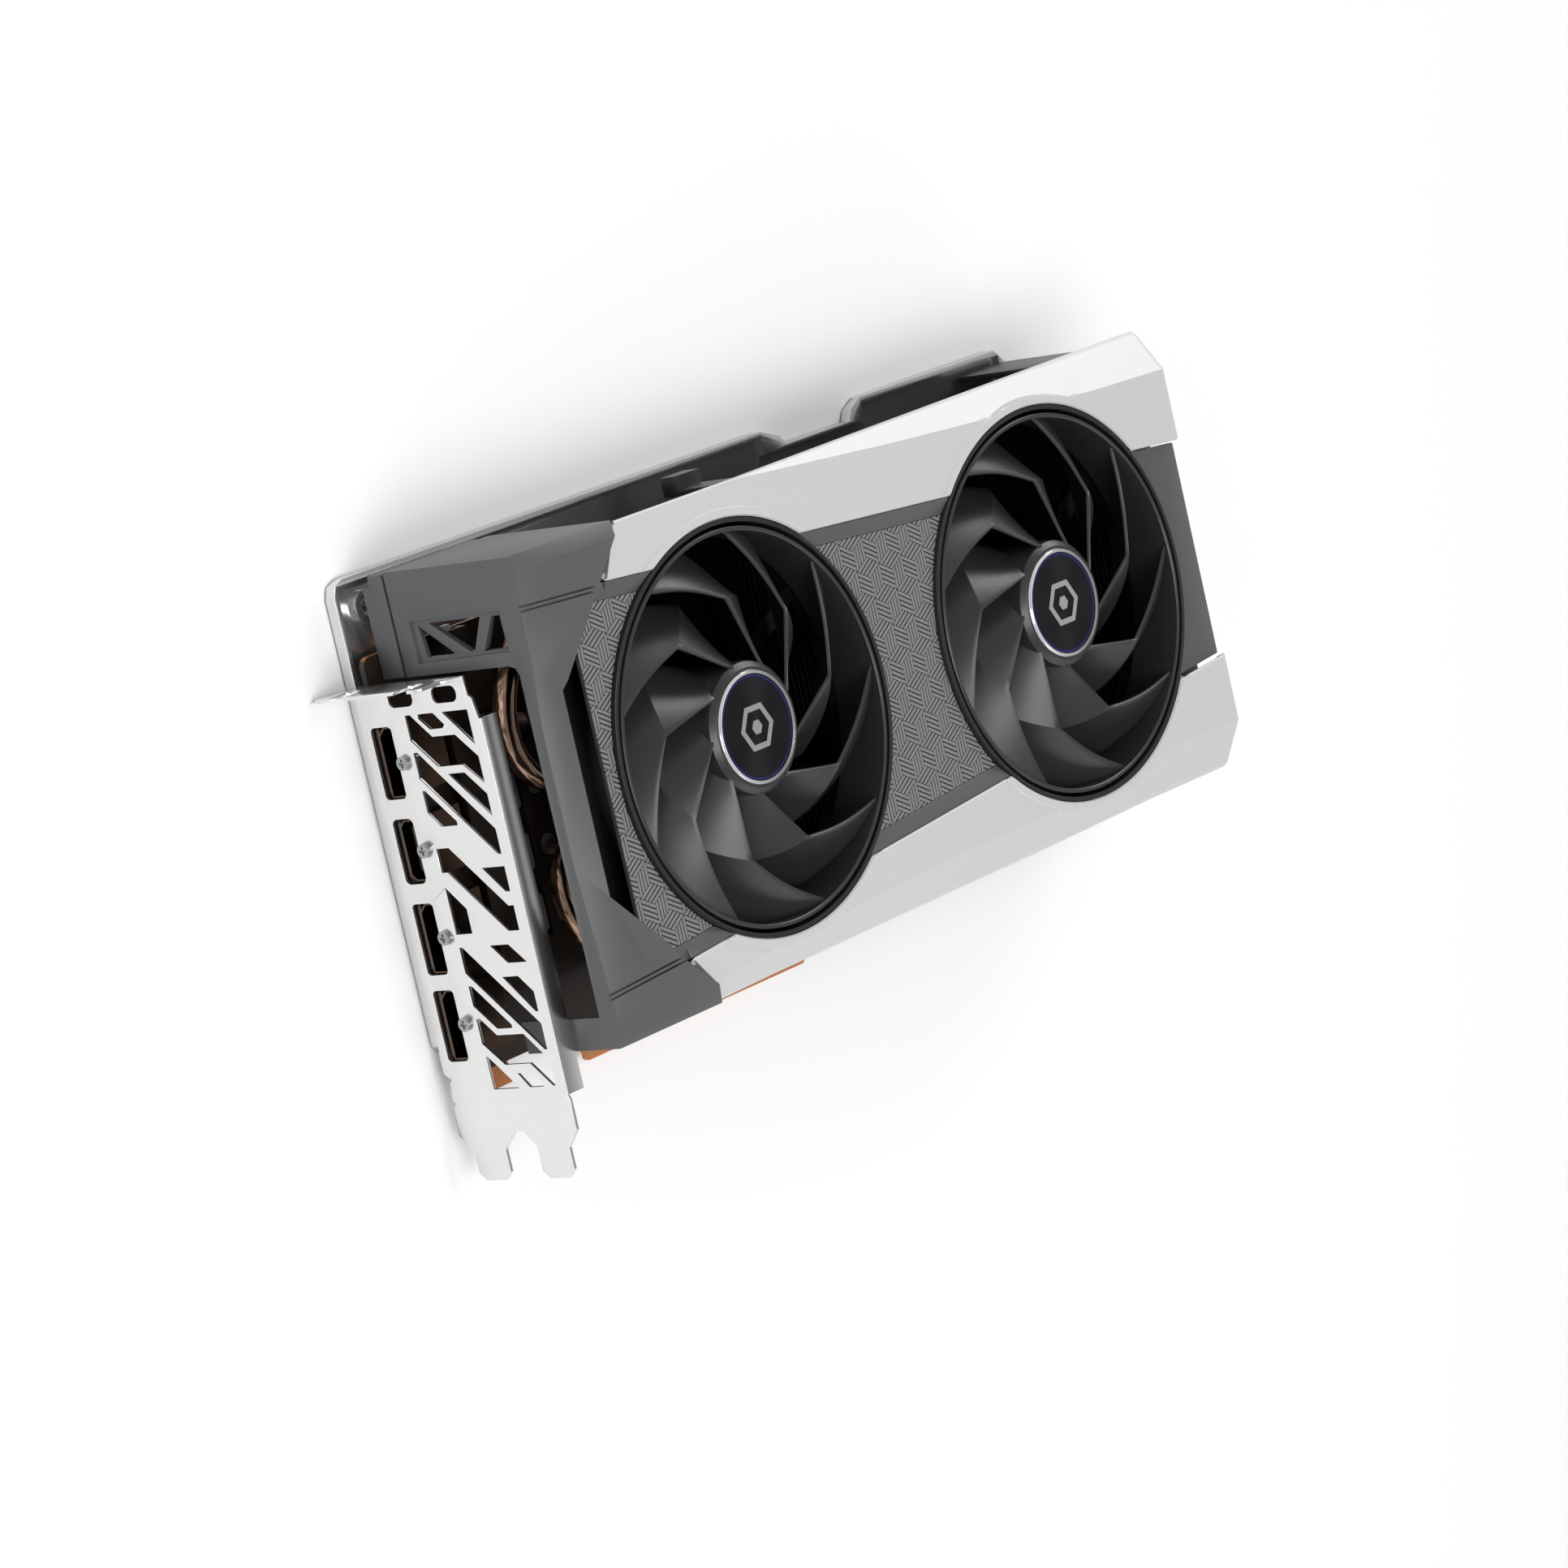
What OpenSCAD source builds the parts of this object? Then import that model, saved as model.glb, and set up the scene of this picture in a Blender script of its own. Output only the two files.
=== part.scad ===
// Dual-fan graphics card on a full-height two-slot bracket.
// It lies on its backplate, fans up. +X runs from the bracket to the tail, +Y to the edge with the
// power socket, +Z to the fans. The origin is the bottom centre of the whole card's box.

/* [Card] */
// Length from the bracket's outer face to the tail
card_len = 266; // [262:1:272]
// Height of the front strips above the bracket's back edge
front_z = 52; // [51:0.5:54]
// Height of the cooler's centre line above the fork tips
cooler_y = 87.1; // [86:0.1:88]
// Width of the cooler across the card
cooler_w = 117; // [115:0.5:118]

/* [Fans] */
// Distance of the first fan's axis from the bracket face
fan_x = 78.2; // [77:0.1:80]
// Distance between the two fan axes
fan_pitch = 124.9; // [124:0.1:126]
// Outer radius of the rotor's rim ring
rim_r = 48.2; // [47:0.1:48.4]
// Number of blades on a rotor
blades = 9; // [7:1:11]
// Radius of the fan hub
hub_r = 16.2; // [15.8:0.1:16.8]
// Radius at which a blade bends
kink_r = 32; // [30:0.5:34]
// Radius of the fan shaft
shaft_r = 1.5; // [1.25:0.25:2]
// Radial running clearance between shaft and bearing
shaft_gap = 0.05; // [0.02:0.01:0.08]

/* [Bracket] */
// Height from the fork tips to the underside of the flange
bracket_h = 120.02; // [120.02:0.01:120.02]
// Pitch of the two slots
slot_pitch = 20.32; // [20.32:0.01:20.32]
// Width of the bracket
bracket_w = 38.2; // [38:0.1:38.7]
// Thickness of the sheet
sheet = 0.86; // [0.8:0.02:1]
// Reach of the flange outward from the bracket's face
flange_len = 11.43; // [11.43:0.01:11.43]

/* [Board] */
// Height of the board's back face above the bracket's back edge
board_z = 2.43; // [2.43:0.01:2.43]
// Thickness of the board
board_t = 1.57; // [1.57:0.01:1.57]
// Height of the board from the contact edge up
board_h = 111.15; // [111.15:0.01:111.15]
// Length of the board from the bracket face
board_len = 238; // [225:1:250]

/* [Switch] */
// Travel of the two-position switch
switch_travel = 2; // [1.5:0.25:2.5]

/* [Hidden] */
$fn = 64;
// Clearance that lets a cutter pass a face
e = 0.1;
// Modules measure from the bracket's corner; these shift that corner to the row's origin
back_z = -3;
top_y = cooler_y + cooler_w / 2 + 0.4;
mid_x = (card_len - flange_len) / 2;
mid_y = top_y / 2;
// Cooler outline
cool_top = cooler_y + cooler_w / 2;
cool_bot = cooler_y - cooler_w / 2;
cap_x = 6.4;
cap_z = front_z + 1.4;
// Levels, from the board up
comp_z = board_z + board_t;
die_top = comp_z + 2.8;
base_top = die_top + 3.2;
pipe_r = 3;
pipe_z = base_top + pipe_r + 0.05;
fin_low = pipe_z + pipe_r + 0.6;
fin_top = 31.5;
insert_z = front_z - 1.5;
insert_t = 1.3;
duct_r = rim_r + 1;
duct_wall = 1.2;
open_r = duct_r + duct_wall + 0.15;
// Contact edge
board_over = 7.17; // the board's top edge above the flange's underside
edge_y = bracket_h - board_h + board_over;
edge_x = 44.95;
short_len = 11.65;
key_w = 1.9;
long_len = 71.65;
edge_len = short_len + key_w + long_len;
tab_h = 8.25;
// Graphics processor centre
gpu_x = 112;
gpu_y = 78;
// Display sockets on the bracket: inside sizes of the standard openings
shell_wall = 0.3;
display_in = [16.2, 4.9];
media_in = [14.1, 4.6];
socket_len = 15.5;
// Middle of the sockets' cut-outs in the bracket
port_cut_z = 5.9;
port_ys = [102.1, 59.3, 38.1];
media_y = 80.7;
port_screw_z = 11;
port_screw_ys = [101.9, 80.7, 59.5, 38.4];
// Fan axes
fan_xs = [fan_x, fan_x + fan_pitch];
// Switch seat
switch_x = 30;
switch_y = edge_y + board_h - 2.6;
// Power socket
power_x = 185;
power_w = 19.4;

// Inner edges of the two front strips: straight lines that open towards the tail
strip_in_left = 45.7;
strip_in_right = 28.6;
strip_left = 38;
// End cap
seam_z = 11.6;
block_y = 120.8;
wall = 1.8;
// Fan levels
mount_z = fin_top + 1.2;
hub_low = mount_z + 2.2;
hub_top = front_z - 0.5;
blade_low = 37.6;
blade_high = front_z - 1;

// Shift from the bracket corner frame to the row's origin.
module card() {
    translate([-mid_x, -mid_y, -back_z]) children();
}

// A sheet standing across X: an outline in Y and Z, drawn from x to x + t.
module sheet_x(x, t) {
    translate([x, 0, 0]) rotate([90, 0, 90]) linear_extrude(t) children();
}

// A bar along Y: an outline in X and Z, drawn from y to y + t.
module bar_y(y, t) {
    translate([0, y + t, 0]) rotate([90, 0, 0]) linear_extrude(t) children();
}

// A rectangle with rounded corners, from corner a to corner b.
module round_rect(a, b, r) {
    union() {
        translate([a[0] + r, a[1]]) square([b[0] - a[0] - 2 * r, b[1] - a[1]]);
        translate([a[0], a[1] + r]) square([b[0] - a[0], b[1] - a[1] - 2 * r]);
        for (x = [a[0] + r, b[0] - r], y = [a[1] + r, b[1] - r]) {
            translate([x, y]) circle(r, $fn = 32);
        }
    }
}

// A box from corner a to corner b.
module box(a, b) {
    translate(a) cube(b - a);
}

// A screw lying along +Z with its head's top at the origin.
module screw(head_r, head_h, shank_r, shank_l) {
    difference() {
        union() {
            translate([0, 0, -head_h]) cylinder(r = head_r, h = head_h, $fn = 32);
            translate([0, 0, -head_h - shank_l])
                cylinder(r = shank_r, h = shank_l + head_h / 3, $fn = 24);
        }
        for (turn = [0, 90]) {
            rotate([0, 0, turn]) translate([-0.6 * head_r, -0.15 * head_r, -0.6 * head_h])
                cube([1.2 * head_r, 0.3 * head_r, head_h]);
        }
    }
}

// ---- Bracket ---------------------------------------------------------------------------------

// Outline of the bracket's face in Y and Z: forks below, a step at the top right.
module bracket_outline() {
    fork_w = 10.19;
    fork_z = 4.1;
    next_z = fork_z + slot_pitch;
    shoulder = 7.27;
    polygon([
        [0, fork_z + 2], [2, fork_z], [shoulder, fork_z], [11.2, 0.3], [17.8, 0.3], [19.2, 2],
        [19.8, 0.9], [24, 0.9], [25, 2.2], [26.2, 0.3], [bracket_h, 0],
        [bracket_h + sheet, 0], [bracket_h + sheet, 35.2], [116.4, 35.6], [115.6, 36.7],
        [110.6, bracket_w - 0.6], [20, bracket_w - 0.6], [18.8, bracket_w],
        [11.46, bracket_w], [shoulder, next_z + fork_w], [2, next_z + fork_w],
        [0, next_z + fork_w - 2], [0, next_z + 2], [2, next_z], [6.8, next_z], [8.4, 24.1],
        [11.5, 21.2], [11.9, 19.4], [11.5, 18.1], [7.5, fork_z + fork_w], [2, fork_z + fork_w],
        [0, fork_z + fork_w - 2]]);
}

// Slanted cut-outs of the vent field, in Y and Z, between z0 and z1. A generic row of 45 degree
// bars that leans one way above the middle and the other way below it.
module vent_cuts() {
    z0 = 14.6;
    z1 = 34.8;
    polygon([[113, z0], [113, z0 + 1.6], [107.4, z0 + 7.2], [107.4, z0 + 14.4], [101.8, z1],
        [95.4, z1], [100.2, z1 - 5.6], [100.2, z0 + 6.8], [107, z0]]);
    polygon([[113, 18.8], [113, 23.6], [110, 26.4], [109.2, 25.6], [109.2, 21.6], [112, 18.6]]);
    polygon([[113, 26.4], [113, 34.6], [104.7, 34.6]]);
    polygon([[98.3, 24], [98.3, 29.2], [92.8, z1], [87.5, z1]]);
    polygon([[104, z0], [104, z0 + 1.2], [84.4, z1], [78.4, z1], [78.4, z1 - 1], [97.8, z0]]);
    polygon([[94.8, z0], [94.8, z0 + 0.8], [87, 23.2], [86, 23.2], [86, 18], [89.6, z0]]);
    polygon([[80.8, z0], [80.8, z0 + 4], [66, 33.2], [66, z1], [60, z1], [60, z1 - 3.4],
        [75, z0 + 1.8], [75, z0]]);
    polygon([[75.4, 27.6], [75.4, z1], [69.4, z1], [69.4, 33.4]]);
    polygon([[71.4, z0], [66, z0 + 5.2], [60, z0 + 5.2], [60, z0]]);
    polygon([[56.8, z0], [56.8, z0 + 0.9], [37.4, z1], [31.2, z1], [31.2, z1 - 0.8], [50.6, z0]]);
    polygon([[56.8, 24.4], [56.8, 30.2], [52.4, z1], [52.4, 28.8]]);
    polygon([[49.1, 26], [49.1, 31], [45.2, z1], [40.4, z1], [40.4, z1 - 0.8]]);
    polygon([[47.4, z0], [47.4, z0 + 1], [37.6, 25.4], [36.8, 25.4], [36.8, 20.6], [42.6, z0]]);
    polygon([[39.4, z0], [39.4, z0 + 1.2], [35.2, 20], [35.2, 28.4], [28.6, z1], [22.4, z1],
        [22.4, z1 - 0.8], [28, 28.4], [28, 20.4], [33.4, z0]]);
    polygon([[30.2, 14.9], [30.2, 15.4], [22.6, 23], [22.2, 23], [22.2, 14.9]]);
    polygon([[25.8, 23.6], [25.8, 28], [22.8, 31], [22.3, 31], [22.3, 26.6]]);
}

module socket_cut(y, z, w, h, r) {
    translate([y, z]) round_rect([-w / 2, -h / 2], [w / 2, h / 2], r);
}

// Outward flange with two screw notches one slot apart.
module bracket_flange() {
    notch_z = 5.5;
    notch_r = 2.2;
    difference() {
        bar_y(bracket_h, sheet)
            polygon([[sheet, 0], [sheet, 35.2], [0, 35.2], [-3.2, 31.5], [-flange_len + 1.5, 31.5],
                [-flange_len, 30], [-flange_len, -1.4], [-flange_len + 1.5, -2.9], [-4, -2.9],
                [0, -1], [0, 0]]);
        for (z = [notch_z, notch_z + slot_pitch]) {
            box([-flange_len - e, bracket_h - e, z - notch_r],
                [-6.35, bracket_h + sheet + e, z + notch_r]);
            translate([-6.35, bracket_h - e, z]) rotate([-90, 0, 0])
                cylinder(r = notch_r, h = sheet + 2 * e, $fn = 32);
        }
    }
}

module bracket() {
    color("silver") card() {
        union() {
            difference() {
                sheet_x(0, sheet) bracket_outline();
                sheet_x(-e, sheet + 2 * e) union() {
                    for (y = port_ys) socket_cut(y, port_cut_z, 17.4, 6.6, 1.2);
                    socket_cut(media_y, port_cut_z, 15.8, 6.6, 1.6);
                    for (z = [14.3, 28.4]) {
                        translate([117.1, z]) round_rect([-2, -3.9], [1.9, 3.9], 1.7);
                    }
                    vent_cuts();
                }
                for (y = port_screw_ys) {
                    translate([-e, y, port_screw_z]) rotate([0, 90, 0])
                        cylinder(r = 1.05, h = sheet + 2 * e, $fn = 24);
                }
            }
            bracket_flange();
            box([0, 20, bracket_w - sheet], [5.6, 110.6, bracket_w]);
            box([0, 26.5, 0], [3.6, 32, 0.8]);
        }
    }
}

module bracket_screws() {
    color("gainsboro") card() {
        for (y = port_screw_ys) {
            translate([-0.9, y, port_screw_z]) rotate([0, -90, 0]) screw(1.7, 0.9, 1, 4.4);
        }
    }
}

// ---- Display sockets -------------------------------------------------------------------------

// Section of a shell, low edge at z = 0, grown outward by more. Corners cut by key at the low edge:
// only the one at high y, or both.
module socket_section(inside, key, both, more) {
    half = inside[0] / 2 + more;
    low = shell_wall - more;
    high = shell_wall + inside[1] + more;
    polygon([[-half + (both ? key : 0), low], [half - key, low], [half, low + key], [half, high],
        [-half, high], [-half, low + (both ? key : 0)]]);
}

// A thin metal shell that stands on the board, open at the bracket and closed at the back.
module socket_shell(y, inside, key, both) {
    color("dimgray") card() {
        difference() {
            sheet_x(sheet + 0.05, socket_len) translate([y, comp_z])
                socket_section(inside, key, both, shell_wall);
            sheet_x(-e, socket_len - 2) translate([y, comp_z])
                socket_section(inside, key, both, 0);
        }
    }
}

module display_socket_1() { socket_shell(port_ys[0], display_in, 1.8, false); }
module display_socket_2() { socket_shell(port_ys[1], display_in, 1.8, false); }
module display_socket_3() { socket_shell(port_ys[2], display_in, 1.8, false); }
module media_socket() { socket_shell(media_y, media_in, 1.3, true); }

// The tongue that carries the contacts in each socket.
module socket_tongues() {
    tongue_x = 2.6;
    back_x = socket_len - 2 - e;
    color("black") card() {
        for (y = port_ys) {
            box([tongue_x, y - 6.2, comp_z + 3], [back_x, y + 6.2, comp_z + 4.1]);
        }
        box([tongue_x, media_y - 5.4, comp_z + 2], [back_x, media_y + 5.4, comp_z + 3.2]);
    }
}

// ---- Board -----------------------------------------------------------------------------------

gpu_holes = [for (x = [-27, 27], y = [-27, 27]) [gpu_x + x, gpu_y + y]];
back_holes = [[12, 117.5], [66, 119.5], [150, 119.5], [150, 36], [226, 119.5], [226, 40]];

module board_outline() {
    low = edge_y + tab_h;
    high = edge_y + board_h;
    difference() {
        union() {
            round_rect([1.4, low], [board_len, high], 2.4);
            translate([edge_x, edge_y]) polygon([[0, 0.6], [0.6, 0], [edge_len - 0.6, 0],
                [edge_len, 0.6], [edge_len, tab_h + 1], [0, tab_h + 1]]);
            translate([10, edge_y + 3]) square([8, tab_h]);
        }
        translate([edge_x + short_len, edge_y - 1]) square([key_w, tab_h]);
        translate([edge_x + edge_len + 4, low - 1]) square([7, 5]);
    }
}

module circuit_board() {
    color("#1b1512") card() {
        difference() {
            translate([0, 0, board_z]) linear_extrude(board_t) board_outline();
            for (p = gpu_holes) {
                translate([p[0], p[1], board_z - e]) cylinder(r = 1.6, h = board_t + 2 * e, $fn = 24);
            }
            for (p = back_holes) {
                translate([p[0], p[1], board_z - e]) cylinder(r = 1.4, h = board_t + 2 * e, $fn = 24);
            }
        }
    }
}

// Gold pads, 1 mm apart, on both faces of the contact edge.
module edge_contacts() {
    pad = [0.7, 4.2, 0.05];
    color("gold") card() {
        for (side = [board_z - pad[2], comp_z]) {
            for (i = [0 : 10]) {
                translate([edge_x + 0.65 + i, edge_y + 1, side]) cube(pad);
            }
            for (i = [0 : 70]) {
                translate([edge_x + short_len + key_w + 0.25 + i, edge_y + 1, side]) cube(pad);
            }
        }
    }
}

module processor_package() {
    color("darkgreen") card() box([gpu_x - 20, gpu_y - 20, comp_z], [gpu_x + 20, gpu_y + 20, comp_z + 2]);
}

module processor_die() {
    color("slategray") card()
        box([gpu_x - 10, gpu_y - 12, comp_z + 2], [gpu_x + 10, gpu_y + 12, die_top]);
}

memory_spots = [for (y = [-18, 0, 18], side = [-35, 35]) [gpu_x + side, gpu_y + y]];
mem_size = [12, 14, 1.2];

module memory_chips() {
    color("black") card() {
        for (p = concat(memory_spots, [[gpu_x - 12, gpu_y - 36], [gpu_x + 12, gpu_y - 36]])) {
            translate([p[0] - mem_size[0] / 2, p[1] - mem_size[1] / 2, comp_z]) cube(mem_size);
        }
    }
}

module memory_pads() {
    color("lightblue") card() {
        for (p = memory_spots) {
            translate([p[0] - 5, p[1] - 6, comp_z + mem_size[2]])
                cube([10, 12, die_top - comp_z - mem_size[2]]);
        }
    }
}

// Coils in a row either side of the processor; each is a soft-cornered block.
module power_coils() {
    color("dimgray") card() {
        for (i = [0 : 3]) {
            translate([164, 51 + i * 15, comp_z]) linear_extrude(4.4)
                round_rect([0, 0], [9, 9], 1);
        }
        for (i = [0 : 3]) {
            translate([29, 51 + i * 15, comp_z]) linear_extrude(4.4)
                round_rect([0, 0], [9, 9], 1);
        }
    }
}

module capacitors() {
    color("gray") card() {
        for (x = [180, 44], i = [0 : 3]) {
            translate([x, 55.5 + i * 15, comp_z]) cylinder(r = 2.6, h = 4.6, $fn = 32);
        }
        for (i = [0 : 2]) {
            translate([204 + i * 9, 114, comp_z]) cylinder(r = 3.15, h = 7.6, $fn = 32);
        }
    }
}

module power_stages() {
    color("black") card() {
        for (x = [155.5, 52], i = [0 : 3]) {
            translate([x, 52.5 + i * 15, comp_z]) cube([5, 6, 1]);
        }
    }
}

// Eight-way socket at the top edge, opening upward along +Y.
module power_socket() {
    cell = 4.2;
    low = 117;
    high = 129.6;
    color("black") card() {
        difference() {
            union() {
                box([power_x - power_w / 2, low, comp_z], [power_x + power_w / 2, high, comp_z + 10.4]);
                box([power_x - 3, high - 6, comp_z + 10.4], [power_x + 3, high - 1, comp_z + 12]);
            }
            for (i = [-1.5 : 1 : 1.5], row = [0, 1]) {
                box([power_x + i * cell - 1.75, low + 3, comp_z + 1.2 + row * cell],
                    [power_x + i * cell + 1.75, high + e, comp_z + 4.7 + row * cell]);
            }
        }
    }
}

module power_pins() {
    cell = 4.2;
    color("gold") card() {
        for (i = [-1.5 : 1 : 1.5], row = [0, 1]) {
            box([power_x + i * cell - 0.55, 120, comp_z + 2.4 + row * cell],
                [power_x + i * cell + 0.55, 126.6, comp_z + 3.5 + row * cell]);
        }
    }
}

module fan_headers() {
    color("ivory") card() {
        for (x = [206, 218]) {
            difference() {
                box([x, 100, comp_z], [x + 8, 105, comp_z + 5]);
                box([x + 0.8, 100.8, comp_z + 1.5], [x + 7.2, 104.2, comp_z + 5 + e]);
            }
        }
    }
}

// ---- Two-position switch ---------------------------------------------------------------------

module switch_body() {
    w = 8.6;
    color("black") card() {
        difference() {
            box([switch_x - w / 2, switch_y - 2.4, comp_z], [switch_x + w / 2, switch_y + 2.4, comp_z + 3.6]);
            box([switch_x - 3, switch_y - 0.6, comp_z + 0.8],
                [switch_x + 3, switch_y + 2.4 + e, comp_z + 2.8]);
        }
    }
}

module switch_slider() {
    color("white") card() {
        x = switch_x - switch_travel / 2;
        box([x - 1, switch_y - 0.5, comp_z + 0.9], [x + 1, switch_y + 3.8, comp_z + 2.7]);
    }
}

// ---- Heatsink --------------------------------------------------------------------------------

// Each pipe's lower run lies on the cold plate, its upper run threads the fins: [low y, high y].
pipe_runs = [[gpu_y + 19.5, gpu_y + 37], [gpu_y + 6.5, gpu_y + 50], [gpu_y - 8, gpu_y - 38]];
pipe_rise = 9.5;
turn_x = 52;

module cold_plate() {
    color("#b87333") card() {
        box([gpu_x - 30, gpu_y - 24, die_top], [gpu_x + 30, gpu_y + 24, base_top]);
    }
}

// Metal plate round the cold plate, on the memory and the power stages.
module base_plate() {
    color("dimgray") card() {
        difference() {
            box([20, 40, die_top], [196, 116, die_top + 1.6]);
            box([gpu_x - 30.2, gpu_y - 24.2, die_top - e], [gpu_x + 30.2, gpu_y + 24.2, die_top + 2]);
            for (x = [164, 29]) {
                box([x - 1, 49.5, die_top - e], [x + 10, 106.5, die_top + 2]);
            }
            for (x = [180, 44], i = [0 : 3]) {
                translate([x, 55.5 + i * 15, die_top - e]) cylinder(r = 3.1, h = 2, $fn = 32);
            }
            for (p = gpu_holes) {
                translate([p[0], p[1], die_top - e]) cylinder(r = 1.7, h = 2, $fn = 24);
            }
        }
    }
}

// A pipe runs on the cold plate, turns back in a hairpin near the bracket and enters the fins.
module heat_pipe(y_low, y_high) {
    way = sign(y_high - y_low);
    bend = norm([y_high - y_low, pipe_rise]) / 2;
    tilt = atan2(pipe_rise, abs(y_high - y_low));
    $fn = 32;
    union() {
        translate([turn_x, y_low, pipe_z]) rotate([0, 90, 0])
            cylinder(r = pipe_r, h = gpu_x + 28 - turn_x);
        translate([turn_x, y_low, pipe_z]) rotate([way * tilt, 0, 0])
            translate([0, way * bend, 0]) rotate([0, 0, 90])
            rotate_extrude(angle = 180) translate([bend, 0]) circle(pipe_r);
        translate([turn_x, y_high, pipe_z + pipe_rise]) rotate([0, 90, 0])
            cylinder(r = pipe_r, h = 204);
    }
}

module heat_pipes() {
    color("#8a5a3c") card() {
        for (run = pipe_runs) heat_pipe(run[0], run[1]);
    }
}

// Fins across the card, threaded on the upper runs of the pipes.
module fin_stack() {
    pitch = 5;
    first = 56;
    count = 40;
    sheet_t = 0.6;
    color("lightgray") card() {
        difference() {
            for (i = [0 : count - 1]) {
                box([first + i * pitch, 34, fin_low], [first + i * pitch + sheet_t, 139, fin_top]);
            }
            for (run = pipe_runs) {
                translate([turn_x, run[1], pipe_z + pipe_rise]) rotate([0, 90, 0])
                    cylinder(r = pipe_r + 0.02, h = 212);
            }
        }
    }
}

module cooler_screws() {
    color("gray") card() {
        for (p = gpu_holes) {
            translate([p[0], p[1], -2.45]) mirror([0, 0, 1]) screw(2.6, 1.2, 1.3, 9.2);
        }
    }
}

// ---- Back ------------------------------------------------------------------------------------

module retention_plate() {
    color("silver") card() {
        difference() {
            box([gpu_x - 31, gpu_y - 31, -1.2], [gpu_x + 31, gpu_y + 31, -0.1]);
            box([gpu_x - 21, gpu_y - 21, -1.4], [gpu_x + 21, gpu_y + 21, 0.2]);
            for (p = gpu_holes) {
                translate([p[0], p[1], -1.4]) cylinder(r = 1.5, h = 2, $fn = 24);
            }
        }
    }
}

// Outline of the backplate in X and Y, with a notch over the power socket.
module back_outline() {
    high = top_y;
    low = cool_bot + 1.5;
    polygon([[1.1, low + 3], [4.1, low], [card_len - 6, low], [card_len, low + 6],
        [card_len, high - 4], [card_len - 4, high], [204, high], [199.5, high - 2.4],
        [198, high - 5], [172, high - 5], [170, high - 2.4], [163, high], [5.1, high],
        [2.3, high - 1.2], [1.1, high - 4]]);
}

// Inside of the tray in X and Y, one millimetre or more from the outline.
module tray_outline() {
    inner_low = cool_bot + 3;
    depth = top_y - 1.6 - inner_low;
    union() {
        translate([2.6, inner_low]) square([card_len - 5.2, top_y - 6 - inner_low]);
        translate([2.6, inner_low]) square([160, depth]);
        translate([204, inner_low]) square([card_len - 206.6, depth]);
    }
}

// Shallow metal tray with a standoff at each board screw and one boss near the bracket.
module backplate() {
    plate_t = 1.4;
    floor_z = back_z + plate_t;
    color("#2b2b2e") card() {
        difference() {
            union() {
                difference() {
                    translate([0, 0, back_z]) linear_extrude(-back_z) back_outline();
                    translate([0, 0, floor_z]) linear_extrude(-back_z) tray_outline();
                }
                translate([10.4, 138, floor_z - 0.5]) cylinder(r = 4, h = 2.9, $fn = 48);
                for (p = back_holes) {
                    translate([p[0], p[1], floor_z - 0.5])
                        cylinder(r = 3, h = board_z - floor_z + 0.5, $fn = 32);
                }
            }
            for (p = gpu_holes) {
                translate([p[0], p[1], back_z - e]) cylinder(r = 3.1, h = 2, $fn = 32);
            }
            for (p = back_holes) {
                translate([p[0], p[1], back_z - e])
                    cylinder(r = 1.5, h = board_z - back_z + 2 * e, $fn = 24);
                translate([p[0], p[1], back_z - e]) cylinder(r = 2.4, h = 1, $fn = 32);
            }
            translate([10.4, 138, floor_z + 0.6]) cylinder(r = 1.7, h = 3, $fn = 24);
            // vent field past the end of the board
            for (i = [0 : 5]) {
                translate([244, 50 + i * 13, back_z - e]) linear_extrude(plate_t + 2 * e)
                    round_rect([0, 0], [14, 6], 1.5);
            }
        }
    }
}

module backplate_screws() {
    color("gray") card() {
        for (p = back_holes) {
            translate([p[0], p[1], back_z]) mirror([0, 0, 1]) screw(2.3, 0.9, 1.3, 7);
        }
    }
}

// ---- Shroud ----------------------------------------------------------------------------------

module strip_outline(side) {
    y0 = cooler_y + side * strip_in_left;
    y1 = cooler_y + side * strip_in_right;
    yo = cooler_y + side * cooler_w / 2;
    polygon([[44.4, yo], [44.4, yo - side * 3.2], [strip_left - 1.6, y0 + side * 1.6],
        [strip_left + 0.8, y0 - side * 0.06], [card_len - 1, y1], [card_len, y1 + side * 1.2],
        [card_len, yo - side * 8], [card_len - 2.5, yo]]);
}

// A block whose roof falls away beyond a crease line, towards the strip's outer edge.
module strip_roof(side, left_gap, right_gap, fall) {
    length = card_len - 30;
    lean = atan((left_gap - right_gap) / length) * side;
    difference() {
        box([20, 0, front_z - 16], [card_len + 20, 170, front_z]);
        translate([card_len, cooler_y + side * right_gap, front_z]) rotate([0, 0, -lean])
            rotate([-side * fall, 0, 0]) translate([-length - 60, side > 0 ? 0 : -60, 0])
            cube([length + 120, 60, 30]);
    }
}

module strip(side, left_gap, right_gap, fall) {
    skin = 2.2;
    difference() {
        intersection() {
            translate([0, 0, front_z - 14]) linear_extrude(20) strip_outline(side);
            difference() {
                strip_roof(side, left_gap, right_gap, fall);
                translate([0, 0, -skin]) strip_roof(side, left_gap, right_gap, fall);
            }
        }
        for (x = fan_xs) {
            translate([x, cooler_y, front_z - 20]) cylinder(r = open_r, h = 30, $fn = 128);
        }
    }
}

module top_strip() {
    color("#d9dadc") card() strip(1, 59, 47.2, 34);
}

module bottom_strip() {
    color("#d9dadc") card() strip(-1, 52, 46.7, 31);
}

shroud_holes = [for (x = [40, 140], y = [cool_bot + 7, cool_top - 7]) [x, y]];

shroud_low = cool_bot + 3.2;
shroud_high = cool_top - 3.2;
shroud_wall = 1.6;
shroud_end = card_len - 2.2;
tail_start = card_len - 22;
deck_z = front_z - 10.6;
deck_t = 1.2;
skirt_h = 5.4;

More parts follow.
